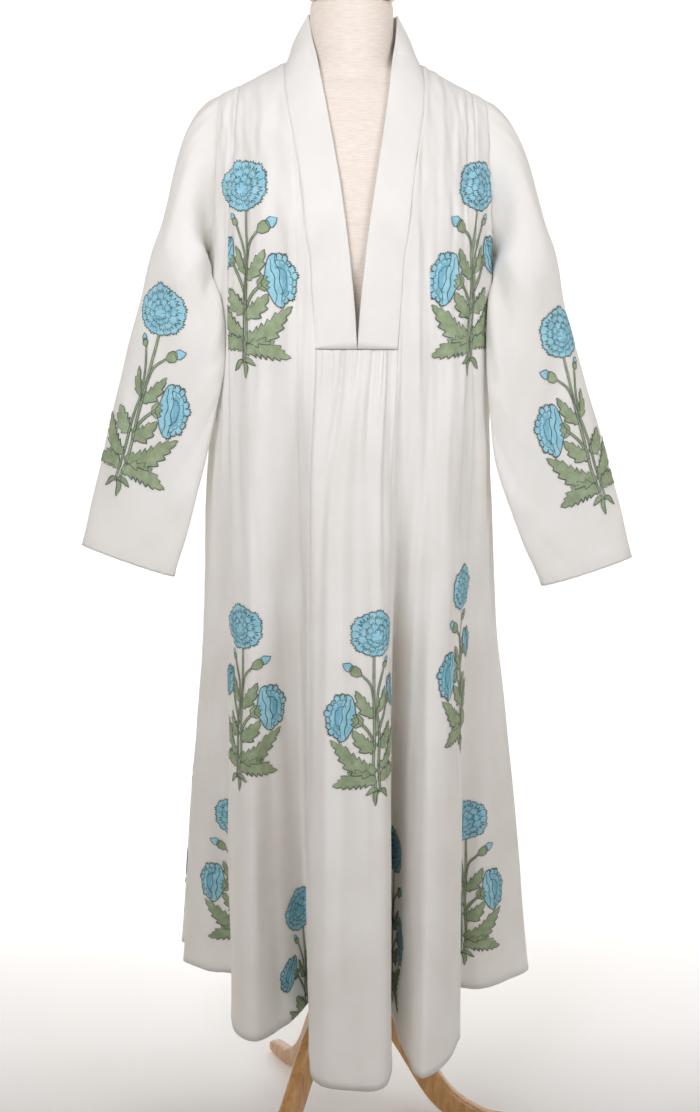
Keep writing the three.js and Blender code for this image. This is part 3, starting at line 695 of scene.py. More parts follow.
@dataclass
class Workshop:
    """Makes objects, gives them their finish and hangs them on the root body.

    Attributes:
        axis: x and y of the pole in the row frame, metres.
    """

    axis: Array

    def make(
        self,
        name: str,
        points: Array,
        faces: Sequence,
        finish: Material,
        slot: Slot,
        uv: Array | None = None,
    ) -> Thing:
        """One mesh object.

        Args:
            name: object name.
            points: points in millimetres.
            faces: lists of point numbers.
            finish: its material.
            slot: not used.
            uv: place of each point on the flat cloth, metres.

        Returns:
            The object.
        """
        mesh = bpy.data.meshes.new(name)
        mesh.from_pydata(to_row(points, self.axis).tolist(), [], [list(map(int, f)) for f in faces])
        mesh.update()
        if uv is not None:
            layer = mesh.uv_layers.new(name="cloth")
            index = np.empty(len(mesh.loops), dtype=np.int32)
            mesh.loops.foreach_get("vertex_index", index)
            layer.data.foreach_set("uv", np.asarray(uv, np.float32).reshape(-1, 2)[index].ravel())
        mesh.polygons.foreach_set("use_smooth", [True] * len(mesh.polygons))
        mesh.materials.append(finish)
        obj = bpy.data.objects.new(name, mesh)
        bpy.context.scene.collection.objects.link(obj)
        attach(obj, ROOT)
        LOG.info("%s: %d points, %d faces", name, len(mesh.vertices), len(mesh.polygons))
        return obj

    def grid(
        self,
        name: str,
        points: Array,
        finish: Material,
        slot: Slot,
        closed: bool = False,
        flip: bool = False,
    ) -> Thing:
        """A sheet from rows of points.

        Args:
            name: object name.
            points: rows, columns, 3.
            finish: its material.
            slot: the material slot, handed on to make.
            closed: whether a row goes all round.
            flip: turns the faces over.

        Returns:
            The object.
        """
        rows, columns = points.shape[:2]
        spans = columns if closed else columns - 1
        j, i = np.meshgrid(np.arange(rows - 1), np.arange(spans), indexing="ij")
        a, b = j * columns + i, j * columns + (i + 1) % columns
        corners = [a, b, b + columns, a + columns] if flip else [a, a + columns, b + columns, b]
        faces = np.stack(corners, axis=-1)
        across = np.zeros((rows, columns))
        across[:, 1:] = np.cumsum(np.linalg.norm(np.diff(points, axis=1), axis=-1), axis=1)
        across -= across[:, columns // 2][:, None]
        down = np.zeros((rows, columns))
        down[1:] = np.cumsum(np.linalg.norm(np.diff(points, axis=0), axis=-1), axis=0)
        uv = np.stack([across, -down], axis=-1) * MM
        return self.make(name, points.reshape(-1, 3), faces.reshape(-1, 4), finish, slot, uv)


def cloth_area(obj: Thing) -> float:
    """Area of a mesh.

    Args:
        obj: the object.

    Returns:
        Square metres.
    """
    return sum(face.area for face in obj.data.polygons)


# Finishes


def linear(hex_colour: str) -> tuple[float, float, float, float]:
    """Screen colour to the linear values a shader takes.

    Args:
        hex_colour: such as "#f4f1e9".

    Returns:
        Linear red, green, blue and 1.
    """
    parts = [int(hex_colour[i : i + 2], 16) / 255 for i in (1, 3, 5)]
    return (*[c / 12.92 if c <= 0.04045 else ((c + 0.055) / 1.055) ** 2.4 for c in parts], 1.0)


@dataclass
class Bench:
    """One material's nodes.

    Attributes:
        material: the material being made.
    """

    material: Material

    @classmethod
    def start(cls, name: str) -> "Bench":
        """Args:
            name: the material's name.

        Returns:
            A bench with an empty node tree.
        """
        material = bpy.data.materials.new(name)
        material.use_nodes = True
        material.node_tree.nodes.clear()
        return cls(material)

    def add(self, kind: str, settings: dict | None = None, **inputs) -> bpy.types.Node:
        """Adds a node, sets it and links it.

        Args:
            kind: node type.
            settings: the node's own properties.
            **inputs: socket name with _ for a space, or iN for socket number N, to a value
                or an output socket.

        Returns:
            The node.
        """
        node = self.material.node_tree.nodes.new(kind)
        for key, value in (settings or {}).items():
            setattr(node, key, value)
        for key, value in inputs.items():
            number = key[1:] if key[0] == "i" and key[1:].isdigit() else None
            socket = node.inputs[int(number)] if number else node.inputs[key.replace("_", " ")]
            if isinstance(value, bpy.types.NodeSocket):
                self.material.node_tree.links.new(value, socket)
            else:
                socket.default_value = value
        return node

    def waves(
        self, ways: str, place: bpy.types.NodeSocket, scale: float, distortion: float
    ) -> list[bpy.types.Node]:
        """Wave textures that stand for the threads of a weave.

        Args:
            ways: axis each of them runs along.
            place: coordinates.
            scale: waves for each unit of the coordinates.
            distortion: how uneven the threads are.

        Returns:
            The nodes, one for each way.
        """
        thread = dict(Vector=place, Scale=scale, Distortion=distortion)
        return [self.add("ShaderNodeTexWave", {"bands_direction": way}, **thread) for way in ways]

    def close(self, surface: bpy.types.Node) -> Material:
        """Links the last node to the output.

        Args:
            surface: the node that makes the surface.

        Returns:
            The material.
        """
        self.add("ShaderNodeOutputMaterial", Surface=surface.outputs[0])
        return self.material

    def ramp(self, source: bpy.types.NodeSocket, stops: Iterable[tuple[float, str]]) -> bpy.types.NodeSocket:
        """A colour ramp.

        Args:
            source: what drives it.
            stops: places and screen colours.

        Returns:
            The colour output.
        """
        node = self.add("ShaderNodeValToRGB", Fac=source)
        stops = list(stops)
        while len(node.color_ramp.elements) < len(stops):
            node.color_ramp.elements.new(0.5)
        for element, (place, colour) in zip(node.color_ramp.elements, stops):
            element.position = place
            element.color = linear(colour)
        return node.outputs["Color"]


@dataclass(frozen=True)
class CottonFinish:
    """Plain-weave cotton, starched and pressed, dry and softly bright.

    Attributes:
        name: material name.
        light: screen colour where the cloth is clean and flat.
        dark: screen colour of its faint unevenness.
        thread: thread spacing in metres; real 0.35 mm, drawn coarser at 1.1 mm so that it shows.
        thin: share of light that comes through the single layer.
        roughness: how matt the face is.
    """

    name: str = "ivory_cotton_plain_weave_pressed"
    light: str = "#f3f1ed"
    dark: str = "#ece9e3"
    thread: float = 0.0011
    thin: float = 0.16
    roughness: float = 0.86

    def build(self) -> Material:
        """Returns:
        The material.
        """
        bench = Bench.start(self.name)
        place = bench.add("ShaderNodeUVMap", {"uv_map": "cloth"}).outputs["UV"]
        mottle = bench.add("ShaderNodeTexNoise", Vector=place, Scale=9.0, Detail=4.0).outputs["Fac"]
        colour = bench.ramp(mottle, ((0.35, self.dark), (0.65, self.light)))
        # Warp and weft together give the dry, slightly grainy face of plain cotton
        scale = 1.0 / (2.0 * self.thread)
        warp, weft = bench.waves("XY", place, scale, 0.4)
        weave = bench.add(
            "ShaderNodeMath", {"operation": "MULTIPLY"}, i0=warp.outputs["Fac"], i1=weft.outputs["Fac"]
        ).outputs[0]
        # Faint crumpling left by wear and the iron catches the light in soft patches
        crumple = bench.add(
            "ShaderNodeTexNoise", Vector=place, Scale=26.0, Detail=3.0, Roughness=0.45, Distortion=0.6
        )
        fine = bench.add("ShaderNodeTexNoise", Vector=place, Scale=110.0, Detail=2.0, Roughness=0.5)
        bump = bench.add("ShaderNodeBump", Strength=0.35, Distance=0.0012, Height=crumple.outputs["Fac"])
        for depth, height in ((0.0003, fine.outputs["Fac"]), (0.0001, weave)):
            bump = bench.add(
                "ShaderNodeBump", Strength=0.25, Distance=depth, Height=height, Normal=bump.outputs[0]
            )
        face = bench.add(
            "ShaderNodeBsdfPrincipled",
            Base_Color=colour,
            Roughness=self.roughness,
            IOR=1.45,
            Sheen_Weight=0.12,
            Sheen_Roughness=0.5,
            Normal=bump.outputs[0],
        )
        through = bench.add("ShaderNodeBsdfTranslucent", Color=colour, Normal=bump.outputs[0])
        mixed = bench.add("ShaderNodeMixShader", Fac=self.thin, i1=face.outputs[0], i2=through.outputs[0])
        return bench.close(mixed)


@dataclass(frozen=True)
class InkFinish:
    """Block-printing colour pressed into cotton: matt, sunk into the threads, a little uneven.

    Attributes:
        name: material name.
        full: screen colour where the block pressed fully.
        thin: screen colour where it pressed lightly.
    """

    name: str
    full: str
    thin: str

    def build(self) -> Material:
        """Returns:
        The material.
        """
        bench = Bench.start(self.name)
        place = bench.add("ShaderNodeTexCoord").outputs["Object"]
        uneven = bench.add("ShaderNodeTexNoise", Vector=place, Scale=70.0, Detail=5.0, Roughness=0.65)
        press = uneven.outputs["Fac"]
        colour = bench.ramp(press, ((0.38, self.full), (0.66, self.thin)))
        crumple = bench.add("ShaderNodeTexNoise", Vector=place, Scale=240.0, Detail=2.0)
        bump = bench.add("ShaderNodeBump", Strength=0.2, Distance=0.0003, Height=crumple.outputs["Fac"])
        face = bench.add(
            "ShaderNodeBsdfPrincipled", Base_Color=colour, Roughness=0.88, IOR=1.45, Normal=bump.outputs[0]
        )
        return bench.close(face)


@dataclass(frozen=True)
class LinenFinish:
    """Cream linen stretched over the padded form: matt, with slubs and a clear weave.

    Attributes:
        name: material name.
        light: screen colour of the threads.
        dark: screen colour between them.
        thread: thread spacing in metres; real 0.6 mm, drawn at 1.3 mm so that it shows.
    """

    name: str = "cream_linen_stretched_on_form"
    light: str = "#e9dfd4"
    dark: str = "#dccfc2"
    thread: float = 0.0013

    def build(self) -> Material:
        """Returns:
        The material.
        """
        bench = Bench.start(self.name)
        place = bench.add("ShaderNodeTexCoord").outputs["Object"]
        scale = 1.0 / (2.0 * self.thread)
        across, upright = bench.waves("ZX", place, scale, 1.2)
        weave = bench.add(
            "ShaderNodeMath", {"operation": "ADD"}, i0=across.outputs["Fac"], i1=upright.outputs["Fac"]
        ).outputs[0]
        long_way = bench.add("ShaderNodeMapping", Vector=place, Scale=(70.0, 70.0, 900.0)).outputs[0]
        slub = bench.add("ShaderNodeTexNoise", Vector=long_way, Scale=1.0, Detail=3.0).outputs["Fac"]
        colour = bench.ramp(slub, ((0.3, self.dark), (0.62, self.light)))
        bump = bench.add("ShaderNodeBump", Strength=0.35, Distance=0.0002, Height=weave)
        bump = bench.add("ShaderNodeBump", Strength=0.3, Distance=0.0004, Height=slub, Normal=bump.outputs[0])
        face = bench.add(
            "ShaderNodeBsdfPrincipled",
            Base_Color=colour,
            Roughness=0.9,
            IOR=1.45,
            Sheen_Weight=0.1,
            Normal=bump.outputs[0],
        )
        return bench.close(face)


@dataclass(frozen=True)
class WoodFinish:
    """Pale close-grained wood, sanded and lacquered: warm, with a soft clear gloss.

    Attributes:
        name: material name.
        light: screen colour between the grain lines.
        dark: screen colour of the grain lines.
    """

    name: str = "pale_wood_sanded_lacquered"
    light: str = "#cf9f66"
    dark: str = "#b07c46"

    def build(self) -> Material:
        """Returns:
        The material.
        """
        bench = Bench.start(self.name)
        place = bench.add("ShaderNodeTexCoord").outputs["Object"]
        along = bench.add("ShaderNodeMapping", Vector=place, Scale=(60.0, 60.0, 9.0)).outputs[0]
        grain = bench.add(
            "ShaderNodeTexNoise", Vector=along, Scale=2.0, Detail=6.0, Roughness=0.6, Distortion=0.8
        )
        colour = bench.ramp(grain.outputs["Fac"], ((0.32, self.dark), (0.6, self.light)))
        bump = bench.add("ShaderNodeBump", Strength=0.12, Distance=0.0003, Height=grain.outputs["Fac"])
        face = bench.add(
            "ShaderNodeBsdfPrincipled",
            Base_Color=colour,
            Roughness=0.38,
            IOR=1.5,
            Coat_Weight=0.5,
            Coat_Roughness=0.14,
            Normal=bump.outputs[0],
        )
        return bench.close(face)


# Dress pieces


@dataclass
class Panel:
    """One cut panel of the dress, from its upper edge to the turned hem.

    Attributes:
        name: the CAD node it stands for.
        start: seam line it begins at.
        end: seam line it ends at.
        flat: width at the hem and length of the cut piece, metres; not used.
        area: flat area of the cut piece, square metres.
        top: level of the upper edge.
        neckline: whether the back neckline is cut into its top.
        step: spacing of its columns along the hem, millimetres.
        gap: open seam between it and its neighbour, millimetres.
        hem_turn: height of the turned hem, millimetres.
    """

    name: str
    start: str
    end: str
    flat: tuple[float, float]
    area: float
    top: float = -1.0
    neckline: bool = False
    step: float = 4.4
    gap: float = 0.3
    hem_turn: float = 12.0

    def bounds(self, shape: DressShape, level: Array) -> tuple[Array, Array]:
        """Edges of the panel.

        Args:
            shape: the dress.
            level: levels.

        Returns:
            First and last running place at each level.
        """
        a, b = shape.seams[self.start](level), shape.seams[self.end](level)
        _, speed_a = shape.directions(shape.plain, a + 0.03, level)
        _, speed_b = shape.directions(shape.plain, b - 0.03, level)
        return a + self.gap / 2 / speed_a, b - self.gap / 2 / speed_b

    def shares(self, shape: DressShape) -> Array:
        """Columns of the sheet as shares across it, finer beside the seams.

        Args:
            shape: the dress.

        Returns:
            Shares from 0 to 1.
        """
        a, b = (float(v) for v in self.bounds(shape, np.array(1.0)))
        places = np.linspace(a, b, 2500)
        points = shape.plain(places, np.ones_like(places))
        along = travelled(points)
        count = max(int(along[-1] / self.step), 24)
        if self.top > 0:
            count = max(count, 190)
            even = np.linspace(0, 1, count)
            by_length = (np.interp(np.linspace(0, along[-1], count), along, places) - a) / (b - a)
            inner = (even * 0.6 + by_length * 0.4)[1:-1]
        else:
            inner = ((np.interp(np.linspace(0, along[-1], count), along, places) - a) / (b - a))[1:-1]
        beside = np.array([1.5, 3.2]) / along[-1]
        return np.unique(np.concatenate([[0.0], beside, inner, 1 - beside, [1.0]]))

    def levels(self) -> Array:
        """Returns:
        Rows of the sheet as levels.
        """
        upper = -1 + np.linspace(0, 1, 46)[:-1] ** 1.15
        lower = np.linspace(0, 1, 112)
        if self.top > 0:
            near = self.top + np.linspace(0, 1, 30)[:-1] ** 1.3 * 0.12
            return np.concatenate([near, np.linspace(self.top + 0.12, 1, 84)])
        return np.concatenate([upper, lower])

    def build(self, shop: Workshop, shape: DressShape, finish: Material) -> Thing:
        """Args:
            shop: the workshop.
            shape: the dress.
            finish: the cotton.

        Returns:
            The panel.
        """
        levels, shares = self.levels(), self.shares(shape)
        a, b = self.bounds(shape, levels)
        place = a[:, None] + (b - a)[:, None] * shares[None, :]
        level = np.repeat(levels[:, None], len(shares), axis=1)
        if self.neckline:
            turn = shape.hem_column(0, place, 360.0)
            level = np.where(level < 0, level * np.abs(shape.neck_level(turn)), level)
        points = shape.surface(place, level)
        normal, _ = shape.directions(shape.plain, place[-1], level[-1])
        rise = self.hem_turn / (shape.armpit - shape.hem)
        fold = points[-1] - normal * 0.8 + np.array([0, 0, 0.2])
        inside = shape.lifted(place[-1], level[-1] - rise * 0.5, -1.1)
        end = shape.lifted(place[-1], level[-1] - rise, -1.0)
        points = np.concatenate([points, fold[None], inside[None], end[None]])
        obj = shop.grid(self.name, points, finish, Slot.COTTON)
        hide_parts(self.name)
        return obj


@dataclass
class Neckband:
    """One half of the shawl band, from centre back over the shoulder to the foot of the V.

    Attributes:
        side: the wearer's side.
        back_rows: free edge behind the shoulder line: turn, x, y, z.
        front_rows: free edge in front: level, x, y, z, and 1 where the band stands, 0 where it lies flat.
        thick: thickness of the folded band.
    """

    side: Side
    back_rows: tuple = ((151.7, 60, 5, 1587), (158, 54, 33, 1586), (168, 33, 55, 1583), (180, 0.2, 64, 1581))
    front_rows: tuple = (
        (-1, 60, 5, 1587, 1),
        (-0.82, 56, -20, 1556, 1),
        (-0.66, 49, -46, 1519, 0.8),
        (-0.48, 41, -77, 1471, 0.3),
        (-0.33, 33, -99, 1422, 0),
        (-0.18, 24, -113, 1368, 0),
        (-0.02, 15, -122, 1305, 0),
        (0.036, 8, -126, 1245, 0),
        (0.09, 2.5, -131, 1185, 0),
        (0.117, 0.2, -133, 1147.2, 0),
    )
    thick: float = 1.9
    bottom: float = 1147.2
    gap: float = 0.3

    def sheet(self, shape: DressShape, share: Array, v: Array, lift: float = 0.0) -> Array:
        """Points of the band.

        Args:
            shape: the dress.
            share: 0 at the seam, 1 at the free edge.
            v: -1 centre back, 0 shoulder line, 1 foot of the V.
            lift: millimetres outwards.

        Returns:
            Points.
        """
        sign = self.side.value
        back_turn = 151.7 + 28.3 * np.clip(-v, 0, 1)
        level = np.clip(-1 + np.clip(v, 0, 1) * (1 + V_FOOT), -1, V_FOOT)
        seam = shape.seams["band_left" if sign > 0 else "band_right"]
        turn = back_turn if sign > 0 else 360 - back_turn
        edge = np.where(
            (v < 0)[..., None],
            shape.plain(shape.place_at(turn), shape.neck_level(back_turn)),
            shape.plain(seam(level), level),
        )
        edge[..., 0] = np.abs(edge[..., 0])
        low = np.clip((level - 0.1) / 0.017, 0, 1) * (v > 0)
        edge[..., 2] = blend(edge[..., 2], self.bottom, low)
        free = np.stack(
            [
                np.where(v < 0, table(self.back_rows, c)(back_turn), table(self.front_rows, c)(level))
                for c in (1, 2, 3)
            ],
            axis=-1,
        )
        stand = np.where(v < 0, 1.0, table(self.front_rows, 4)(level))
        rest = shape.front_depth(free[..., 0], np.minimum(free[..., 2], 1525))
        free[..., 1] = blend(np.minimum(rest, free[..., 1]), free[..., 1], stand)
        full = np.linalg.norm(free - edge, axis=-1)
        inset = self.gap / 2 / full
        point = edge + (free - edge) * blend(inset, 1.0, share)[..., None]
        bow = np.sin(np.pi * share)
        flat = 1 - stand
        lying = shape.front_depth(point[..., 0], point[..., 2])
        point[..., 1] = blend(point[..., 1], lying, flat * np.minimum(1, 2.5 * bow))
        away = unit(point * np.array([1, 1, 0]) - np.array([0, 5, 0]))
        ripple = 0.5 * np.sin(v * 9 + 1) * np.sin(share * 5) + 0.4 * np.sin(v * 17 + 2)
        edge_roll = 0.9 * np.exp(-(((1 - share) / 0.06) ** 2)) + 0.5 * np.exp(-((share / 0.05) ** 2))
        point = point + away * (3 * bow * stand + ripple * bow + edge_roll * 0.4 + lift)[..., None]
        point[..., 0] = np.maximum(point[..., 0], self.gap / 2) * sign
        return point

    def build(self, shop: Workshop, shape: DressShape, finish: Material) -> Thing:
        """Args:
            shop: the workshop.
            shape: the dress.
            finish: the cotton.

        Returns:
            The half band.
        """
        rows = np.concatenate([np.linspace(-1, 0, 44)[:-1], np.linspace(0, 1, 130)])
        shares = np.linspace(0, 1, 26)
        v, share = np.meshgrid(rows, shares, indexing="ij")
        name = f"neckband_{self.side.name.lower()}"
        obj = shop.grid(name, self.sheet(shape, share, v), finish, Slot.COTTON, flip=self.side is Side.RIGHT)
        fold = obj.modifiers.new("folded_band", "SOLIDIFY")
        fold.thickness = self.thick * MM
        fold.offset = 1.0
        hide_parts(name)
        return obj


# Sleeves: outer edge x y z, inner edge x y z, thickness of the flattened tube
SLEEVE_ROWS = {
    Side.RIGHT: (
        (-262, -2, 1290, -183, -34, 1238, 94),
        (-286, -6, 1207, -170, -62, 1168, 64),
        (-306, -10, 1136, -177, -72, 1100, 50),
        (-331, -14, 1035, -199, -72, 998, 42),
        (-353, -18, 942, -222, -68, 905, 38),
        (-370, -24, 872, -243, -62, 833, 36),
    ),
    Side.LEFT: (
        (271, -2, 1292, 187, -34, 1238, 94),
        (295, -6, 1197, 181, -62, 1165, 64),
        (322, -10, 1112, 184, -72, 1085, 50),
        (351, -14, 1022, 196, -72, 990, 42),
        (378, -18, 930, 231, -68, 893, 38),
        (398, -24, 853, 265, -62, 818, 36),
    ),
}

# Sleeve creases: way down the sleeve and turn round it (0 outer edge, 90 front, 180 inner edge)
# where each begins and ends, height, width
SLEEVE_CREASES = {
    Side.RIGHT: (
        (0.5, 150, 1.9, 70, 5.5, 15),
        (0.7, 172, 2.4, 105, -5.0, 13),
        (0.9, 178, 3.1, 128, 4.5, 12),
        (1.6, 60, 3.4, 92, -3.0, 13),
        (2.6, 165, 4.2, 78, 4.0, 13),
        (3.1, 176, 4.9, 110, -3.6, 12),
        (3.2, 40, 5.3, 66, 3.0, 13),
        (4.3, 150, 5.9, 96, 2.8, 11),
        (0.25, 60, 1.3, 66, 2.6, 13),
        (0.8, 280, 3.0, 240, 4.5, 16),
        (2.6, 215, 5.0, 290, -4.0, 14),
    ),
    Side.LEFT: (
        (0.5, 150, 2.1, 76, 5.0, 15),
        (0.7, 170, 2.6, 112, -4.8, 13),
        (1.0, 178, 3.4, 134, 4.2, 12),
        (1.8, 55, 3.6, 86, -3.0, 13),
        (2.8, 168, 4.4, 84, 3.8, 13),
        (3.3, 176, 5.2, 118, -3.4, 12),
        (3.4, 38, 5.5, 62, 3.0, 13),
        (4.4, 146, 5.9, 100, 2.6, 11),
        (0.25, 56, 1.2, 64, 2.4, 13),
        (0.8, 278, 3.0, 244, 4.5, 16),
        (2.6, 218, 5.0, 286, -4.0, 14),
    ),
}


@dataclass
class Sleeve:
    """A set-in sleeve: a tube from the armhole over the cap and down to the open cuff.

    Attributes:
        side: the wearer's side.
        shape: the dress it is set into.
        flat: width and length of the cut piece, metres; not used.
        area: flat area of the cut piece, square metres.
        cuff_turn: depth of the turned cuff hem.
    """

    side: Side
    shape: DressShape
    flat: tuple[float, float] = (0.49, 0.68)
    area: float = 0.187
    cuff_turn: float = 13.0

    def __post_init__(self) -> None:
        """Builds the armhole loop and the rings of the tube on a shared set of angles."""
        sign = self.side.value
        shape = self.shape
        fine = -1 + np.linspace(0, 1, 500) ** 0.5
        half = {}
        for key, turn in (("front", shape.armhole_turn(fine)), ("back", 180 - shape.armhole_turn(fine))):
            x, y = shape.ring(turn, np.full_like(turn, shape.armpit))
            points = shape.over_shoulder(turn, fine, x, y)
            points[:, 0] *= sign
            length = travelled(points)
            half[key] = (points, length / length[-1] * np.pi)
        self.angles = np.linspace(0, 2 * np.pi, 97)[:-1]
        folded = np.where(self.angles <= np.pi, self.angles, 2 * np.pi - self.angles)
        edge = np.empty((len(self.angles), 3))
        for c in range(3):
            front = np.interp(folded, half["front"][1], half["front"][0][:, c])
            back = np.interp(folded, half["back"][1], half["back"][0][:, c])
            edge[:, c] = np.where(self.angles <= np.pi, front, back)
        down = (1 - np.cos(self.angles)) / 2
        sideways, forward = sign * blend(0.9, 1.0, down), -0.35 * np.sin(self.angles)
        self.starts = unit(np.stack([sideways, forward, blend(-0.45, 0.25, down)], axis=-1))
        rows = SLEEVE_ROWS[self.side]
        loops = [edge + self.starts * 0.4]
        for n, row in enumerate(rows):
            outer, inner = np.array(row[:3], float), np.array(row[3:6], float)
            before, after = rows[max(0, n - 1)], rows[min(len(rows) - 1, n + 1)]
            way = np.array(after[:3]) + np.array(after[3:6])
            way = unit(way - np.array(before[:3]) - np.array(before[3:6]))
            across = (outer - inner) / 2
            thick = unit(np.cross(way, across)) * row[6] / 2
            thick = -thick if thick[1] > 0 else thick
            loop = (outer + inner) / 2 + np.outer(np.cos(self.angles), across)
            loops.append(loop + np.outer(np.sin(self.angles), thick))
        self.loops = np.array(loops)

    def clear_of_body(self, points: Array, margin: float) -> Array:
        """Moves sleeve points out of the side of the dress.

        Args:
            points: points.
            margin: least distance from the dress.

        Returns:
            Points.
        """
        shape = self.shape
        x, y, z = points[..., 0], points[..., 1], points[..., 2]
        depth = np.where(y > 0, shape.back(z), shape.front(z))
        turn = np.degrees(np.arctan2(x / shape.half(z), -y / depth))
        ring_x, ring_y = shape.ring(turn, z)
        reach, own = np.hypot(ring_x, ring_y) + margin, np.hypot(x, y)
        scale = np.where((z <= shape.armpit) & (own < reach), reach / np.maximum(own, 1e-6), 1.0)
        return np.stack([x * scale, y * scale, z], axis=-1)

    def tube(self, way: Array) -> Array:
        """Smooth tube.

        Args:
            way: places down the sleeve, 0 armhole to 6 cuff.

        Returns:
            Rows of points, one row per place.
        """
        loops = self.loops
        last = len(loops) - 1
        n = np.minimum(np.floor(way).astype(int), last - 1)
        share = (way - n)[:, None, None]
        slopes = np.empty_like(loops)
        slopes[0] = self.starts
        for m in range(1, last + 1):
            slopes[m] = unit(loops[min(last, m + 1)] - loops[m - 1])
        reach = np.linalg.norm(loops[n + 1] - loops[n], axis=-1, keepdims=True)
        points = hermite(loops[n], loops[n + 1], slopes[n] * reach, slopes[n + 1] * reach, 1.0, share)
        cleared = self.clear_of_body(points, 1.2)
        return np.where((way > 0)[:, None, None], cleared, points)

    def outward(self, points: Array) -> Array:
        """Outward directions of the tube.

        Args:
            points: rows of points.

        Returns:
            Unit vectors.
        """
        around = np.roll(points, -1, axis=1) - np.roll(points, 1, axis=1)
        down = np.gradient(points, axis=0)
        normal = unit(np.cross(around, down))
        away = points - points.mean(axis=1, keepdims=True)
        flip = np.sign((normal * away).sum(axis=-1).mean(axis=1))[:, None, None]
        return normal * flip

    def relief(self, way: Array) -> Array:
        """Creases, cap gathers and the rope-like cuff hem.

        Args:
            way: places down the sleeve.

        Returns:
            Millimetres outwards for every row and angle.
        """
        way_grid = way[:, None]
        turn = np.degrees(self.angles)[None, :]
        total = np.zeros((len(way), len(self.angles)))
        for way_a, turn_a, way_b, turn_b, height, width in SLEEVE_CREASES[self.side]:
            share = (way_grid - way_a) / (way_b - way_a)
            middle = blend(turn_a, turn_b, np.clip(share, 0, 1))
            away = (turn - middle) * 0.95
            total += height * np.exp(-((away / width) ** 2)) * ease(share * 4) * ease((1 - share) * 3)
        cap = np.exp(-((way_grid / 0.35) ** 2)) * (1 - np.exp(-((way_grid / 0.04) ** 2)))
        near_top = np.exp(-((np.minimum(turn, 360 - turn) / 55) ** 2))
        total += 1.3 * np.sin(turn * 0.42 + 0.8 * np.sin(turn * 0.11)) * cap * near_top
        end = np.exp(-(((6 - way_grid) / 0.16) ** 2))
        total += end * (0.7 * np.sin(turn * 0.33 + way_grid * 30) + 0.3 * np.sin(turn * 0.71 + 1))
        total += 0.7 * np.sin(turn * 0.05 + way_grid * 2.1) * np.sin(way_grid * 3.3 + turn * 0.02)
        total -= 0.5 * np.exp(-((way_grid / 0.02) ** 2))
        return total * ease(way_grid * 20 + 0.2)

    def surface(self, way: Array, lift: float = 0.0) -> Array:
        """Finished sleeve surface.

        Args:
            way: places down the sleeve.
            lift: millimetres outwards.

        Returns:
            Rows of points.
        """
        plain = self.tube(way)
        points = plain + self.outward(plain) * (self.relief(way) + lift)[..., None]
        cleared = self.clear_of_body(points, 0.9 + max(lift, 0))
        return np.where((way > 0)[:, None, None], cleared, points)

    def build(self, shop: Workshop, finish: Material) -> Thing:
        """Args:
            shop: the workshop.
            finish: the cotton.

        Returns:
            The sleeve.
        """
        way = np.concatenate([np.linspace(0, 1, 34)[:-1] ** 1.2, np.linspace(1, 6, 96)])
        points = self.surface(way)
        share = self.cuff_turn / 72.0
        back = self.surface(np.array([6 - share, 6 - share / 2, 6.0]), lift=-1.0)
        # The seam allowance runs on under the panels, so no light shows at the armhole
        inside = points[:1] - self.starts[None] * 6.0 - self.outward(points[:3])[:1] * 1.6
        points = np.concatenate([inside, points, back[2][None], back[1][None], back[0][None]])
        name = f"sleeve_{self.side.name.lower()}"
        obj = shop.grid(name, points, finish, Slot.COTTON, closed=True, flip=self.side is Side.LEFT)
        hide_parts(name)
        return obj


# Printed plants


class Ink(Enum):
    """Colours of the print, in the order the blocks are pressed."""

    BLUE = 0
    DEEP = 1
    GREEN = 2
    LINE = 3


# Height of the round flower's middle over the plant's foot, millimetres
FLOWER_HEIGHT = 212.0


# Points and faces of printed shapes, colour by colour
Shapes = dict[Ink, list[tuple[Array, list]]]


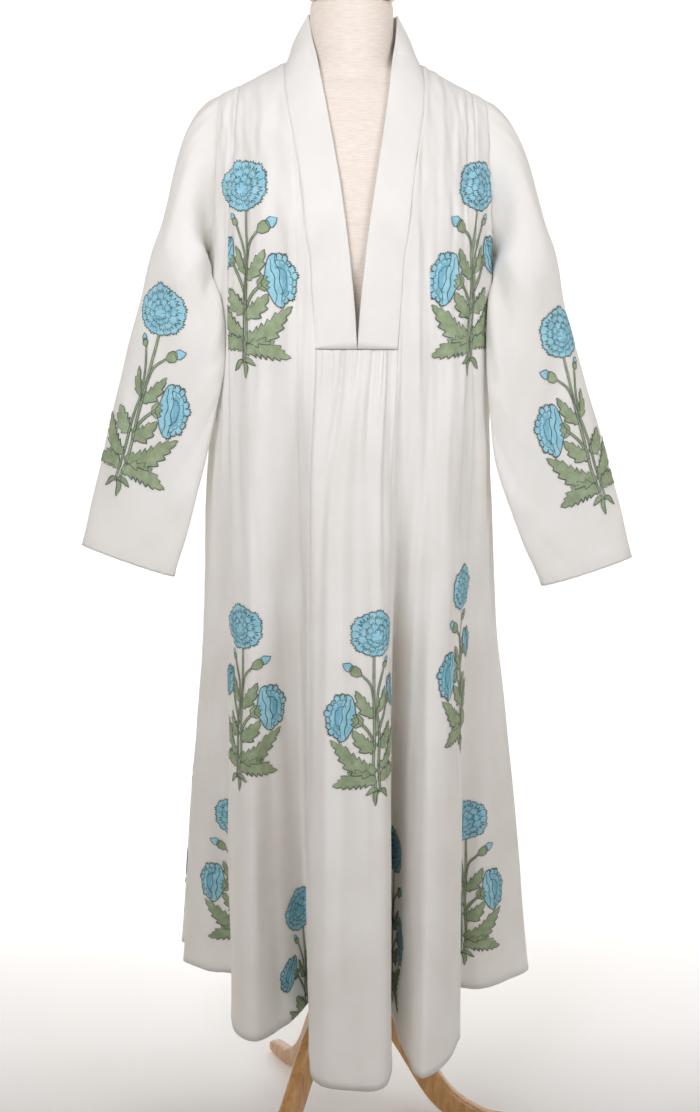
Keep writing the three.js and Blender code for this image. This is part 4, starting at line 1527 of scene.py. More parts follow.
@dataclass
class Drawing:
    """Flat drawing made of filled shapes and lines, in millimetres.

    Attributes:
        line: width of the outlines.
        grain: spacing of points inside a filled shape.
    """

    line: float = 1.1
    grain: float = 4.0
    pieces: Shapes = field(default_factory=lambda: {ink: [] for ink in Ink})

    def fill(self, outline: Array, ink: Ink) -> None:
        """Fills a closed outline.

        Args:
            outline: points of the outline.
            ink: its colour.
        """
        low, high = outline.min(axis=0), outline.max(axis=0)
        gx, gy = np.meshgrid(np.arange(low[0], high[0], self.grain), np.arange(low[1], high[1], self.grain))
        inner = np.stack([gx.ravel(), gy.ravel()], axis=-1)
        ends = np.roll(outline, -1, axis=0)
        inside = np.zeros(len(inner), bool)
        for (x0, y0), (x1, y1) in zip(outline, ends):
            crosses = (y0 > inner[:, 1]) != (y1 > inner[:, 1])
            slope = (x1 - x0) / (y1 - y0) if y1 != y0 else 0.0
            inside ^= crosses & (inner[:, 0] < x0 + (inner[:, 1] - y0) * slope)
        near = np.min(np.linalg.norm(inner[:, None] - outline[None], axis=-1), axis=1) < self.grain * 0.45
        points = np.concatenate([outline, inner[inside & ~near]])
        ring = [list(range(len(outline)))]
        verts, _, faces, *_ = delaunay_2d_cdt([Vector(p) for p in points], [], ring, 1, 1e-4)
        self.pieces[ink].append((np.array([tuple(v) for v in verts]), [tuple(f) for f in faces]))

    def stroke(
        self, path: Array, width: float | None = None, ink: Ink = Ink.LINE, closed: bool = False
    ) -> None:
        """Draws a line, thinner towards its ends unless closed.

        Args:
            path: points of the line.
            width: its width.
            ink: its colour.
            closed: whether it joins up.
        """
        path = np.asarray(path, float)
        if closed:
            path = np.concatenate([path, path[:1]])
        length = travelled(path)
        at = np.unique(np.concatenate([length, np.linspace(0, length[-1], max(3, int(length[-1] / 4.5)))]))
        at = at[np.concatenate([[True], np.diff(at) > 0.35])]
        path = np.stack([np.interp(at, length, path[:, c]) for c in (0, 1)], axis=-1)
        count = len(at)
        way = unit(np.gradient(path, axis=0))
        side = np.stack([-way[:, 1], way[:, 0]], axis=-1)
        half = np.full(count, (width or self.line) / 2)
        if not closed:
            half *= 0.55 + 0.45 * np.sin(np.pi * np.linspace(0.08, 0.92, count))
        points = np.concatenate([path + side * half[:, None], path - side * half[:, None]])
        faces = [(i, i + 1, count + i + 1, count + i) for i in range(count - 1)]
        self.pieces[ink].append((points, faces))

    def stem(self, path: Array, width: float) -> None:
        """A green stalk with a dark line down each side.

        Args:
            path: points of its middle.
            width: its width.
        """
        way = unit(np.gradient(path, axis=0))
        side = np.stack([-way[:, 1], way[:, 0]], axis=-1) * width / 2
        self.stroke(path, width=width, ink=Ink.GREEN)
        self.stroke(path + side, width=self.line * 0.8)
        self.stroke(path - side, width=self.line * 0.8)

    def leaf(
        self, base: Sequence[float], tip: Sequence[float], width: float, bend: float, teeth: int
    ) -> None:
        """A leaf with forward-pointing teeth and a dark edge.

        Args:
            base: where it leaves the stem.
            tip: its point.
            width: its full width.
            bend: how far its middle bows sideways.
            teeth: teeth on each side.
        """
        base, tip = np.array(base, float), np.array(tip, float)
        t = np.linspace(0, 1, 6 * max(teeth, 3) + 1)
        way = tip - base
        side = unit(np.array([-way[1], way[0]]))
        bow = np.sin(np.pi * t) * bend + np.sin(2 * np.pi * t) * bend * 0.3
        spine = base + np.outer(t, way) + np.outer(bow, side)
        body = np.sin(np.pi * t**0.72) ** 0.8 * width / 2
        normal = np.gradient(spine, axis=0)
        normal = unit(np.stack([-normal[:, 1], normal[:, 0]], axis=-1))
        edges = []
        for sign, phase in ((1, 0.0), (-1, 0.45)):
            saw = 0.66 + 0.62 * ((t * teeth + phase) % 1.0) if teeth else 1.0
            forward = ((t * teeth + phase) % 1.0) * (2.2 if teeth else 0.0) * np.sin(np.pi * t)
            lead = np.outer(forward, unit(way))
            edges.append(spine + sign * normal * (body * saw)[:, None] + lead)
        outline = np.concatenate([edges[0], edges[1][-2:0:-1]])
        self.fill(outline, Ink.GREEN)
        self.stroke(edges[0], width=self.line * 0.7)
        self.stroke(edges[1], width=self.line * 1.2)

    @staticmethod
    def petal(turn: float, spread: float, low: float, high: float) -> list[tuple[float, float]]:
        """Edge of one toothed petal as turns and radii.

        Args:
            turn: its middle.
            spread: its width as an angle.
            low: radius of the notch beside it.
            high: radius of its tip.

        Returns:
            Turn and radius of each point.
        """
        steps = (
            (-0.5, 0.0),
            (-0.47, 0.6),
            (-0.34, 0.94),
            (-0.22, 0.62),
            (-0.04, 1.08),
            (0.1, 0.66),
            (0.28, 0.98),
            (0.36, 0.58),
            (0.48, 0.62),
        )
        return [(turn + spread * a, low + (high - low) * r) for a, r in steps]

    def bloom(self, centre: Sequence[float], radius: float, height: float) -> None:
        """A round full flower: rings of toothed petals, crowded towards a middle that sits low.

        Args:
            centre: its middle.
            radius: half its width.
            height: half its height.
        """
        centre = np.array(centre, float)
        chance = np.random.default_rng(11)

        def place(points: Sequence[tuple[float, float]]) -> Array:
            """Points of the drawing for turns and radii, sunk towards the low middle.

            Args:
                points: turns and radii, the rim at 1.

            Returns:
                Flat points.
            """
            flat = np.array([(r * math.cos(a), r * math.sin(a)) for a, r in points])
            sink = 0.16 * (1 - np.hypot(flat[:, 0], flat[:, 1]))
            return centre + (flat - np.stack([sink, sink], axis=-1)) * (radius, height)

        edge = []
        for k in range(17):
            edge += self.petal(2 * math.pi * k / 17, 2 * math.pi / 17, 0.8, chance.uniform(0.96, 1.06))[1:]
        outline = place(edge)
        self.fill(outline, Ink.BLUE)
        for k in range(9):
            turn, r = 2 * math.pi * (k * 0.38), 0.1 + 0.035 * k
            patch = [(turn - 0.3, r), (turn, r - 0.07), (turn + 0.3, r), (turn + 0.1, r + 0.16)]
            self.fill(place(patch), Ink.DEEP)
        self.stroke(outline, closed=True, width=self.line)
        for k in range(17):
            turn = 2 * math.pi * (k - 0.5) / 17
            self.stroke(place([(turn, 0.86), (turn + 0.04, 0.7)]), width=self.line * 0.7)
        for size, count in ((0.74, 12), (0.5, 9), (0.28, 6)):
            for k in range(count):
                turn = 2 * math.pi * (k + chance.uniform(-0.1, 0.1) + size * 2) / count
                high = size * chance.uniform(0.98, 1.16)
                petal = self.petal(turn, 2 * math.pi / count * 0.96, size * 0.58, high)
                self.stroke(place(petal), width=self.line * 0.8)

    def cup(self, base: Sequence[float], turn: float, width: float, height: float) -> None:
        """A flower seen from the side: smooth lower petals, a toothed fringe and a green calyx.

        Args:
            base: where it sits on its stalk.
            turn: lean from upright, degrees to the right.
            width: width at the rim.
            height: height of the petals.
        """
        base = np.array(base, float)
        angle = math.radians(turn)
        up = np.array([math.sin(angle), math.cos(angle)])
        right = np.array([math.cos(angle), -math.sin(angle)])

        def put(points: Array) -> Array:
            """Places points of an upright flower on the leaning one.

            Args:
                points: shares of half the width and of the height.

            Returns:
                Flat points.
            """
            points = np.asarray(points, float)
            return base + np.outer(points[:, 0] * width / 2, right) + np.outer(points[:, 1] * height, up)

        def arc(size: float, teeth: int, lift: float) -> list[tuple[float, float]]:
            """A toothed fringe over the rim, from left to right.

            Args:
                size: its share of the rim's width.
                teeth: how many petals it has.
                lift: height of its ends.

            Returns:
                Points as shares of half the width and of the height.
            """
            points = []
            for k in range(teeth):
                for a, r in self.petal((k + 0.5) / teeth, 1 / teeth, 0.82, 1.02 + 0.05 * ((k * 7) % 3 - 1)):
                    bow = math.pi * (1 - min(max(a, 0), 1))
                    points.append((size * r * math.cos(bow), lift + (1 - lift) * size * r * math.sin(bow)))
            return points

        left = [(-0.07, 0.0), (-0.16, 0.07), (-0.34, 0.13), (-0.55, 0.18), (-0.78, 0.25), (-0.92, 0.33)]
        outline = put([*left, *arc(1.0, 11, 0.36)[1:], *[(-x, y) for x, y in left[::-1]]])
        self.fill(outline, Ink.BLUE)
        self.stroke(outline, closed=True, width=self.line * 1.1)
        t = np.linspace(-1, 1, 40)
        for level, reach in ((0.3, 0.8), (0.46, 0.9)):
            wave = level + 0.05 * (1 - t * t) + 0.026 * np.sin(t * 8 + level * 9)
            self.stroke(put(np.stack([t * reach, wave], axis=-1)), width=self.line)
        for size, teeth in ((0.76, 8), (0.5, 6)):
            points = arc(size, teeth, 0.44)
            for k in range(teeth):
                self.stroke(put(points[9 * k : 9 * k + 9]), width=self.line * 0.8)
        band = [(x, 0.5 + 0.05 * (1 - x * x)) for x in np.linspace(-0.62, 0.62, 9)]
        band += [(x, 0.62 + 0.12 * (1 - x * x * 2)) for x in np.linspace(0.5, -0.5, 9)]
        self.fill(put(band), Ink.DEEP)
        sepals = np.array(
            [[-4, -5], [-9, 2], [-6, 9], [-3, 5], [0, 10], [3, 5], [6, 9], [9, 2], [4, -5]], float
        )
        sepals = base + np.outer(sepals[:, 0], right) * width / 62 + np.outer(sepals[:, 1], up) * width / 62
        self.fill(sepals, Ink.GREEN)
        self.stroke(sepals, closed=True, width=self.line * 0.8)

    def bud(self, base: Sequence[float], turn: float, size: float) -> None:
        """A closed bud: a green case with a blue tip.

        Args:
            base: where it sits on its stalk.
            turn: lean from upright, degrees to the right.
            size: its length.
        """
        base = np.array(base, float)
        angle = math.radians(turn)
        up = np.array([math.sin(angle), math.cos(angle)])
        right = np.array([math.cos(angle), -math.sin(angle)])
        case = np.array(
            [(0, 0), (-0.2, 0.2), (-0.22, 0.45), (-0.1, 0.6), (0.12, 0.58), (0.24, 0.4), (0.18, 0.16)]
        )
        tip = np.array([(-0.16, 0.5), (-0.2, 0.74), (0.02, 1.0), (0.14, 0.86), (0.2, 0.66), (0.14, 0.52)])
        for shape, ink in ((tip, Ink.BLUE), (case, Ink.GREEN)):
            points = base + np.outer(shape[:, 0] * size, right) + np.outer(shape[:, 1] * size, up)
            self.fill(points, ink)
            self.stroke(points, closed=True, width=self.line * 0.9)

    def plant(self, second: bool = True) -> "Drawing":
        """The whole printed plant, foot at the origin, the large side flower to the right.

        Args:
            second: whether the smaller side flower is there.

        Returns:
            This drawing.
        """

        def line(*points: tuple[float, float]) -> Array:
            """A smooth stalk through points.

            Args:
                *points: points it runs through.

            Returns:
                Points of the curve.
            """
            return Curve2.through(points)

        def leaf(base: tuple, reach: tuple, width: float, bend: float, teeth: int) -> None:
            """Draws a leaf by how far it reaches from its base.

            Args:
                base: where it leaves the stem.
                reach: its point, seen from the base.
                width: its full width.
                bend: how far its middle bows sideways.
                teeth: teeth on each side.
            """
            self.leaf(base, (base[0] + reach[0], base[1] + reach[1]), width, bend, teeth)

        leaf((1, 34), (64, 38), 23, -9, 7)
        leaf((2, 18), (62, -6), 22, 7, 7)
        leaf((0, 38), (-42, 42), 18, 7, 6)
        leaf((0, 20), (-46, 4), 18, -6, 6)
        leaf((2, 62), (32, 24), 19, -5, 4)
        leaf((0, 66), (-26, 26), 19, 5, 4)
        leaf((2, 104), (26, 34), 16, -4, 4)
        leaf((0, 108), (-14, 34), 9, 3, 3)
        stems = [(line((1, 64), (12, 84), (25, 98)), 3.2), (line((2, 108), (6, 142), (19, 158)), 2.6)]
        if second:
            stems.append((line((0, 78), (-8, 100), (-19, 122)), 2.8))
        stems.append((line((-1, 116), (-4, 140), (-12, 166)), 2.2))
        stems.append((line((3, 4), (6, 40), (3, 84), (3, 120), (1, 182)), 3.2))
        stems.append((line((-2, 4), (-1, 40), (-3, 80), (0, 116)), 2.6))
        for path, width in stems:
            self.stem(path, width)
        for reach, bend in (((-15, -12), -3), ((5, -20), 3), ((19, -5), 3)):
            self.leaf((0, 7), (reach[0], 7 + reach[1]), 6, bend, 0)
        self.cup((25, 98), 78, 66, 46)
        if second:
            self.cup((-20, 123), -62, 50, 34)
        self.bud((19, 158), 60, 30)
        self.bud((-12, 165), -28, 17)
        return self.flower()

    def flower(self) -> "Drawing":
        """Only the round flower, also where the plant's top crosses a seam.

        Returns:
            This drawing.
        """
        self.bloom((0, FLOWER_HEIGHT), 34.5, 30.5)
        return self


class Curve2:
    """Smooth flat curves."""

    @staticmethod
    def through(points: Sequence[Sequence[float]]) -> Array:
        """Smooth line through points.

        Args:
            points: points.

        Returns:
            Closely spaced points.
        """
        p = np.array(points, float)
        p = np.concatenate([[2 * p[0] - p[1]], p, [2 * p[-1] - p[-2]]])
        out = []
        for i in range(1, len(p) - 2):
            for s in np.linspace(0, 1, 12, endpoint=False):
                out.append(hermite(p[i], p[i + 1], (p[i + 1] - p[i - 1]) / 2, (p[i + 2] - p[i]) / 2, 1.0, s))
        return np.array([*out, p[-2]])


class Block(Enum):
    """The printing blocks: how far each stretches the drawing across and along.

    FLOWER prints the round flower alone. Its third value keeps it apart from TALL.
    """

    SHORT = (1.0, 1.0)
    SLIM = (1.08, 1.16)
    TALL = (1.12, 1.12)
    FLOWER = (1.12, 1.12, 0)


# Where the plants are printed: panels, block, turn and level of the round flower's middle, lean and
# whether the block is turned over
PRINTS = (
    (("front_right",), Block.TALL, -51.7, -0.241, 0.045, False),
    (("side_front_right",), Block.FLOWER, -51.7, -0.241, 0.045, False),
    (("front_left", "side_front_left"), Block.TALL, 60.5, -0.258, -0.1, True),
    (("front_right", "side_front_right"), Block.SHORT, -51.4, 0.47, -0.03, False),
    (("front_centre",), Block.SHORT, 7.0, 0.461, 0.02, True),
    (("front_left", "side_front_left"), Block.SHORT, 50.5, 0.421, -0.03, True),
    (("side_front_right",), Block.SHORT, -67.5, 0.757, 0.02, True),
    (("front_right", "front_centre"), Block.SHORT, -31.2, 0.858, 0.0, False),
    (("front_left",), Block.SHORT, 22.6, 0.776, 0.06, False),
    (("side_front_left",), Block.SHORT, 60.6, 0.753, 0.03, False),
    (("back_centre",), Block.TALL, 147.0, -0.3, 0.0, False),
    (("back_centre",), Block.TALL, 211.0, -0.28, 0.0, True),
    (("back_centre",), Block.SHORT, 136.0, 0.4, 0.0, True),
    (("back_centre",), Block.SHORT, 178.0, 0.47, 0.0, False),
    (("back_centre",), Block.SHORT, 218.0, 0.42, 0.0, False),
    (("side_back_left",), Block.SHORT, 108.0, 0.56, 0.0, False),
    (("side_back_right",), Block.SHORT, 250.0, 0.55, 0.0, True),
    (("back_centre",), Block.SHORT, 152.0, 0.76, 0.0, False),
    (("back_centre",), Block.SHORT, 196.0, 0.75, 0.0, True),
    (("side_back_left",), Block.SHORT, 121.0, 0.77, 0.0, True),
    (("side_back_right",), Block.SHORT, 239.0, 0.77, 0.0, False),
)


@dataclass
class PrintRun:
    """Presses the drawing onto the panels and sleeves, cut off where a seam cuts it.

    Attributes:
        inks: material of each colour.
        lift: how far the first colour lies off the cloth, millimetres.
        blocks: drawing of each block.
    """

    inks: dict[Ink, Material]
    lift: float = 0.8
    blocks: dict[Block, dict[Ink, tuple[Array, list]]] = field(default_factory=dict)

    def __post_init__(self) -> None:
        """Cuts the blocks."""
        for block in Block:
            whole = block is not Block.FLOWER
            drawing = Drawing().plant(block is not Block.SLIM) if whole else Drawing().flower()
            self.blocks[block] = {
                ink: self.merge(pieces, block.value) for ink, pieces in drawing.pieces.items()
            }

    @staticmethod
    def merge(pieces: Sequence[tuple[Array, list]], stretch: Sequence[float]) -> tuple[Array, list]:
        """Joins the shapes of one colour.

        Args:
            pieces: points and faces of each shape.
            stretch: how far they are stretched across and along.

        Returns:
            Points measured from the round flower's middle, the second one downwards, and faces.
        """
        if not pieces:
            return np.zeros((0, 2)), []
        starts = np.cumsum([0] + [len(points) for points, _ in pieces])
        points = np.concatenate([points for points, _ in pieces])
        faces = [
            tuple(int(i + start) for i in face)
            for (_, some), start in zip(pieces, starts)
            for face in some
        ]
        across, down = points[:, 0] * stretch[0], (FLOWER_HEIGHT - points[:, 1]) * stretch[1]
        return np.stack([across, down], axis=-1), faces

    @staticmethod
    def find(arcs: Array, values: Array, across: Array, row: Array) -> Array:
        """Looks up where along each row a distance is reached.

        Args:
            arcs: distances along each row.
            values: value at each column.
            across: distances sought.
            row: rows, as decimals.

        Returns:
            The values found.
        """
        low = np.clip(np.floor(row).astype(int), 0, len(arcs) - 2)
        found = np.empty(len(across))
        for r in np.unique(low):
            mine = low == r
            ends = [np.interp(across[mine], arcs[r + k], values) for k in (0, 1)]
            found[mine] = blend(ends[0], ends[1], row[mine] - r)
        return found

    def on_panel(
        self,
        shape: DressShape,
        panel: Panel,
        block: Block,
        turn: float,
        level: float,
        lean: float,
        mirrored: bool,
    ) -> Shapes:
        """One plant on a panel.

        Args:
            shape: the dress.
            panel: the panel it is printed on.
            block: the block.
            turn: turn of the round flower.
            level: level of the round flower.
            lean: sideways run of the plant for each millimetre down.
            mirrored: whether the block is turned over.

        Returns:
            Points and faces for each colour.
        """
        anchor = float(shape.place_at(turn))
        reach = (-0.3, 0.6) if level < 0 else (-0.09, 0.34)
        levels = np.clip(level + np.linspace(*reach, 120), max(panel.top, -0.999), 0.999)
        levels = np.unique(levels)
        column = shape.surface(np.full_like(levels, anchor), levels)
        drop = travelled(column)
        drop -= np.interp(level, levels, drop)
        places = np.linspace(anchor - 30, anchor + 30, 700)
        places = np.clip(places, 0, shape.knots[-1])
        grid = shape.surface(places[None, :].repeat(len(levels), 0), levels[:, None].repeat(len(places), 1))
        arcs = np.array([travelled(row) for row in grid])
        middle = np.array([np.interp(anchor, places, row) for row in arcs])
        arcs -= middle[:, None]
        bounds_a, bounds_b = panel.bounds(shape, levels)
        result: Shapes = {ink: [] for ink in Ink}
        for ink, (points, faces) in self.blocks[block].items():
            fall = points[:, 1]
            across = points[:, 0] * (-1 if mirrored else 1) + lean * fall
            at = np.interp(fall, drop, levels)
            place = self.find(arcs, places, across, np.interp(fall, drop, np.arange(len(levels))))
            cut = np.clip(place, np.interp(at, levels, bounds_a), np.interp(at, levels, bounds_b))
            out = (place != cut) | (fall < drop[0]) | (fall > drop[-1])
            kept = [f for f in faces if not all(out[i] for i in f)]
            if kept:
                result[ink].append((shape.lifted(cut, at, self.lift + 0.1 * ink.value), kept))
        return result

    def on_sleeve(self, sleeve: Sleeve, turn: float, way: float, lean: float) -> Shapes:
        """One plant on a sleeve.

        Args:
            sleeve: the sleeve.
            turn: degrees round the sleeve of the round flower.
            way: place down the sleeve of the round flower.
            lean: sideways run of the plant for each millimetre down.

        Returns:
            Points and faces for each colour.
        """
        ways = np.linspace(0.05, 5.95, 160)
        result: Shapes = {ink: [] for ink in Ink}
        bare = sleeve.surface(ways)
        angles = np.degrees(sleeve.angles)
        k = int(np.argmin(np.abs(angles - turn)))
        drop = travelled(bare[:, k])
        drop -= np.interp(way, ways, drop)
        ring = np.concatenate([bare, bare[:, :1]], axis=1)
        arcs = np.array([travelled(row) for row in ring])
        arcs -= arcs[:, k][:, None]
        columns = np.arange(len(angles) + 1)
        for ink, (points, faces) in self.blocks[Block.SLIM].items():
            lifted = sleeve.surface(ways, lift=self.lift + 0.1 * ink.value)
            lifted = np.concatenate([lifted, lifted[:, :1]], axis=1)
            row = np.interp(points[:, 1], drop, np.arange(len(ways)))
            column = self.find(arcs, columns.astype(float), points[:, 0] + lean * points[:, 1], row)
            low = np.clip(np.floor(row).astype(int), 0, len(ways) - 2)
            left = np.clip(np.floor(column).astype(int), 0, len(columns) - 2)
            side = (column - left)[:, None]
            top = blend(lifted[low, left], lifted[low, left + 1], side)
            bottom = blend(lifted[low + 1, left], lifted[low + 1, left + 1], side)
            result[ink].append((blend(top, bottom, (row - low)[:, None]), faces))
        return result

    def join(self, runs: Sequence[Shapes]) -> dict[Ink, tuple[Array, list]]:
        """Joins several plants into one mesh per colour.

        Args:
            runs: results of on_panel or on_sleeve.

        Returns:
            Points and faces for each colour.
        """
        joined: dict[Ink, tuple[Array, list]] = {}
        for ink in Ink:
            points, faces, count = [], [], 0
            for run in runs:
                for some, their_faces in run[ink]:
                    points.append(some)
                    faces.extend(tuple(i + count for i in f) for f in their_faces)
                    count += len(some)
            if points:
                joined[ink] = (np.concatenate(points), faces)
        return joined

    def press(self, shop: Workshop, name: str, runs: Sequence[Shapes]) -> list[Thing]:
        """Makes the printed objects of one panel or sleeve.

        Args:
            shop: the workshop.
            name: the panel's name.
            runs: its plants.

        Returns:
            The objects.
        """
        return [
            shop.make(f"{name}_print_{ink.name.lower()}", points, faces, self.inks[ink], Slot.COTTON)
            for ink, (points, faces) in self.join(runs).items()
        ]


# Stitching


@dataclass
class Stitches:
    """Rows of machine stitches: short rounded dashes lying on the cloth.

    Attributes:
        length: length of a stitch.
        pitch: from one stitch to the next.
        width: width of the thread.
    """

    length: float = 2.9
    pitch: float = 4.0
    width: float = 0.75

    def along(self, path: Array, normal: Array) -> tuple[Array, list]:
        """Stitches along a line.

        Args:
            path: closely spaced points on the cloth.
            normal: outward direction at each point.

        Returns:
            Points and faces.
        """
        length = travelled(path)
        starts = np.arange(1.0, length[-1] - self.length, self.pitch)
        points, faces = [], []
        for start in starts:
            at = start + np.array([0, 0.25, 0.75, 1.0]) * self.length
            line = np.stack([np.interp(at, length, path[:, c]) for c in range(3)], axis=-1)
            up = unit(np.stack([np.interp(at, length, normal[:, c]) for c in range(3)], axis=-1))
            way = unit(line[-1] - line[0])
            side = unit(np.cross(up, way)) * self.width / 2
            base = len(points)
            rise = np.array([0.1, 0.45, 0.45, 0.1])[:, None]
            narrow = np.array([0.4, 1.0, 1.0, 0.4])[:, None]
            points.extend(line + side * narrow + up * 0.1)
            points.extend(line + up * rise)
            points.extend(line - side * narrow + up * 0.1)
            for k in range(3):
                faces.append((base + k, base + k + 1, base + 5 + k, base + 4 + k))
                faces.append((base + 4 + k, base + 5 + k, base + 9 + k, base + 8 + k))
        return np.array(points), faces


# Form and stand


@dataclass
class Leg:
    """One bent wooden leg with rounded edges and a flat foot.

    Attributes:
        name: the CAD node it stands for.
        turn: direction it points, degrees.
        width: its width.
        line: distance from the pole, height and thickness of its middle line.
        corner: radius of its rounded edges.
    """

    name: str
    turn: float
    width: float = 22.0
    corner: float = 6.0
    line: tuple = (
        (29.4, 184, 36),
        (46, 180, 36),
        (62, 170, 36),
        (78, 152, 36),
        (94, 128, 36),
        (109, 103, 36),
        (124, 78, 36),
        (141, 54, 36),
        (160, 36, 35),
        (182, 24, 31),
        (212, 14, 25),
        (240, 11, 22),
        (262, 9, 18),
    )

    def build(self, shop: Workshop, finish: Material) -> Thing:
        """Args:
            shop: the workshop.
            finish: the wood.

        Returns:
            The leg.
        """
        height, thick = table(self.line, 1), table(self.line, 2)
        r = np.linspace(self.line[0][0], self.line[-1][0], 72)
        slope = np.gradient(height(r), r)
        slope[0] = 0
        size = np.hypot(1, slope)
        angle = np.linspace(0, 2 * np.pi, 33)[:-1]
        rows = []
        for k in range(len(r)):
            half_w, half_t = self.width / 2, float(thick(r[k])) / 2
            corner = min(self.corner, half_t - 0.5)
            cx, cy = np.sign(np.cos(angle)) * (half_w - corner), np.sign(np.sin(angle)) * (half_t - corner)
            across = cx + corner * np.cos(angle)
            up = cy + corner * np.sin(angle)
            out = r[k] - up * slope[k] / size[k]
            z = np.maximum(0.0, float(height(r[k])) + up / size[k])
            rows.append(np.stack([out, across, z], axis=-1))
        middle = [row.mean(axis=0) for row in (rows[0], rows[-1])]
        tips = [np.repeat(m[None], 32, 0) for m in middle]
        near_end = blend(rows[-1], tips[1], 0.25) + np.array([1.6, 0, 0])
        near_end[:, 2] = np.maximum(near_end[:, 2], 0.0)
        end = tips[1] + np.array([2.0, 0, 0])
        points = np.array([tips[0], *rows, near_end, end])
        turn = math.radians(self.turn)
        x = points[..., 0] * math.cos(turn) - points[..., 1] * math.sin(turn)
        y = points[..., 0] * math.sin(turn) + points[..., 1] * math.cos(turn)
        obj = shop.grid(self.name, np.stack([x, y, points[..., 2]], axis=-1), finish, Slot.WOOD, closed=True)
        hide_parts(self.name)
        return obj


@dataclass
class DressForm:
    """Linen torso, wooden cap, pole, hub and legs.

    Attributes:
        legs: name and direction of each leg.
        voxel: how finely the torso is smoothed, metres.
    """

    legs: tuple = (("leg_1", -9.0), ("leg_2", 111.0), ("leg_3", 231.0))
    voxel: float = 0.0042

    def build(self, shop: Workshop, nodes: dict, linen: Material, wood: Material) -> None:
        """Args:
        shop: the workshop.
        nodes: the CAD objects.
        linen: the cover.
        wood: the stand's wood.
        """
        torso = nodes["torso"]
        self.dress_node(torso, linen, Slot.LINEN)
        even = torso.modifiers.new("even_surface", "REMESH")
        even.mode = "VOXEL"
        even.voxel_size = self.voxel
        even.use_smooth_shade = True
        soft = torso.modifiers.new("padded_softness", "SMOOTH")
        soft.factor = 0.5
        soft.iterations = 14
        for name in ("neck_cap", "pole", "hub"):
            self.dress_node(nodes[name], wood, Slot.WOOD)
        for name, turn in self.legs:
            Leg(name, turn).build(shop, wood)

    @staticmethod
    def dress_node(obj: Thing, finish: Material, slot: Slot) -> None:
        """Gives a CAD node its finish.

        Args:
            obj: the node.
            finish: its material.
            slot: not used.
        """
        obj.data.materials.clear()
        obj.data.materials.append(finish)
        obj.data.polygons.foreach_set("use_smooth", [True] * len(obj.data.polygons))
        LOG.info("%s: kept from the frame", obj.name)


# Studio


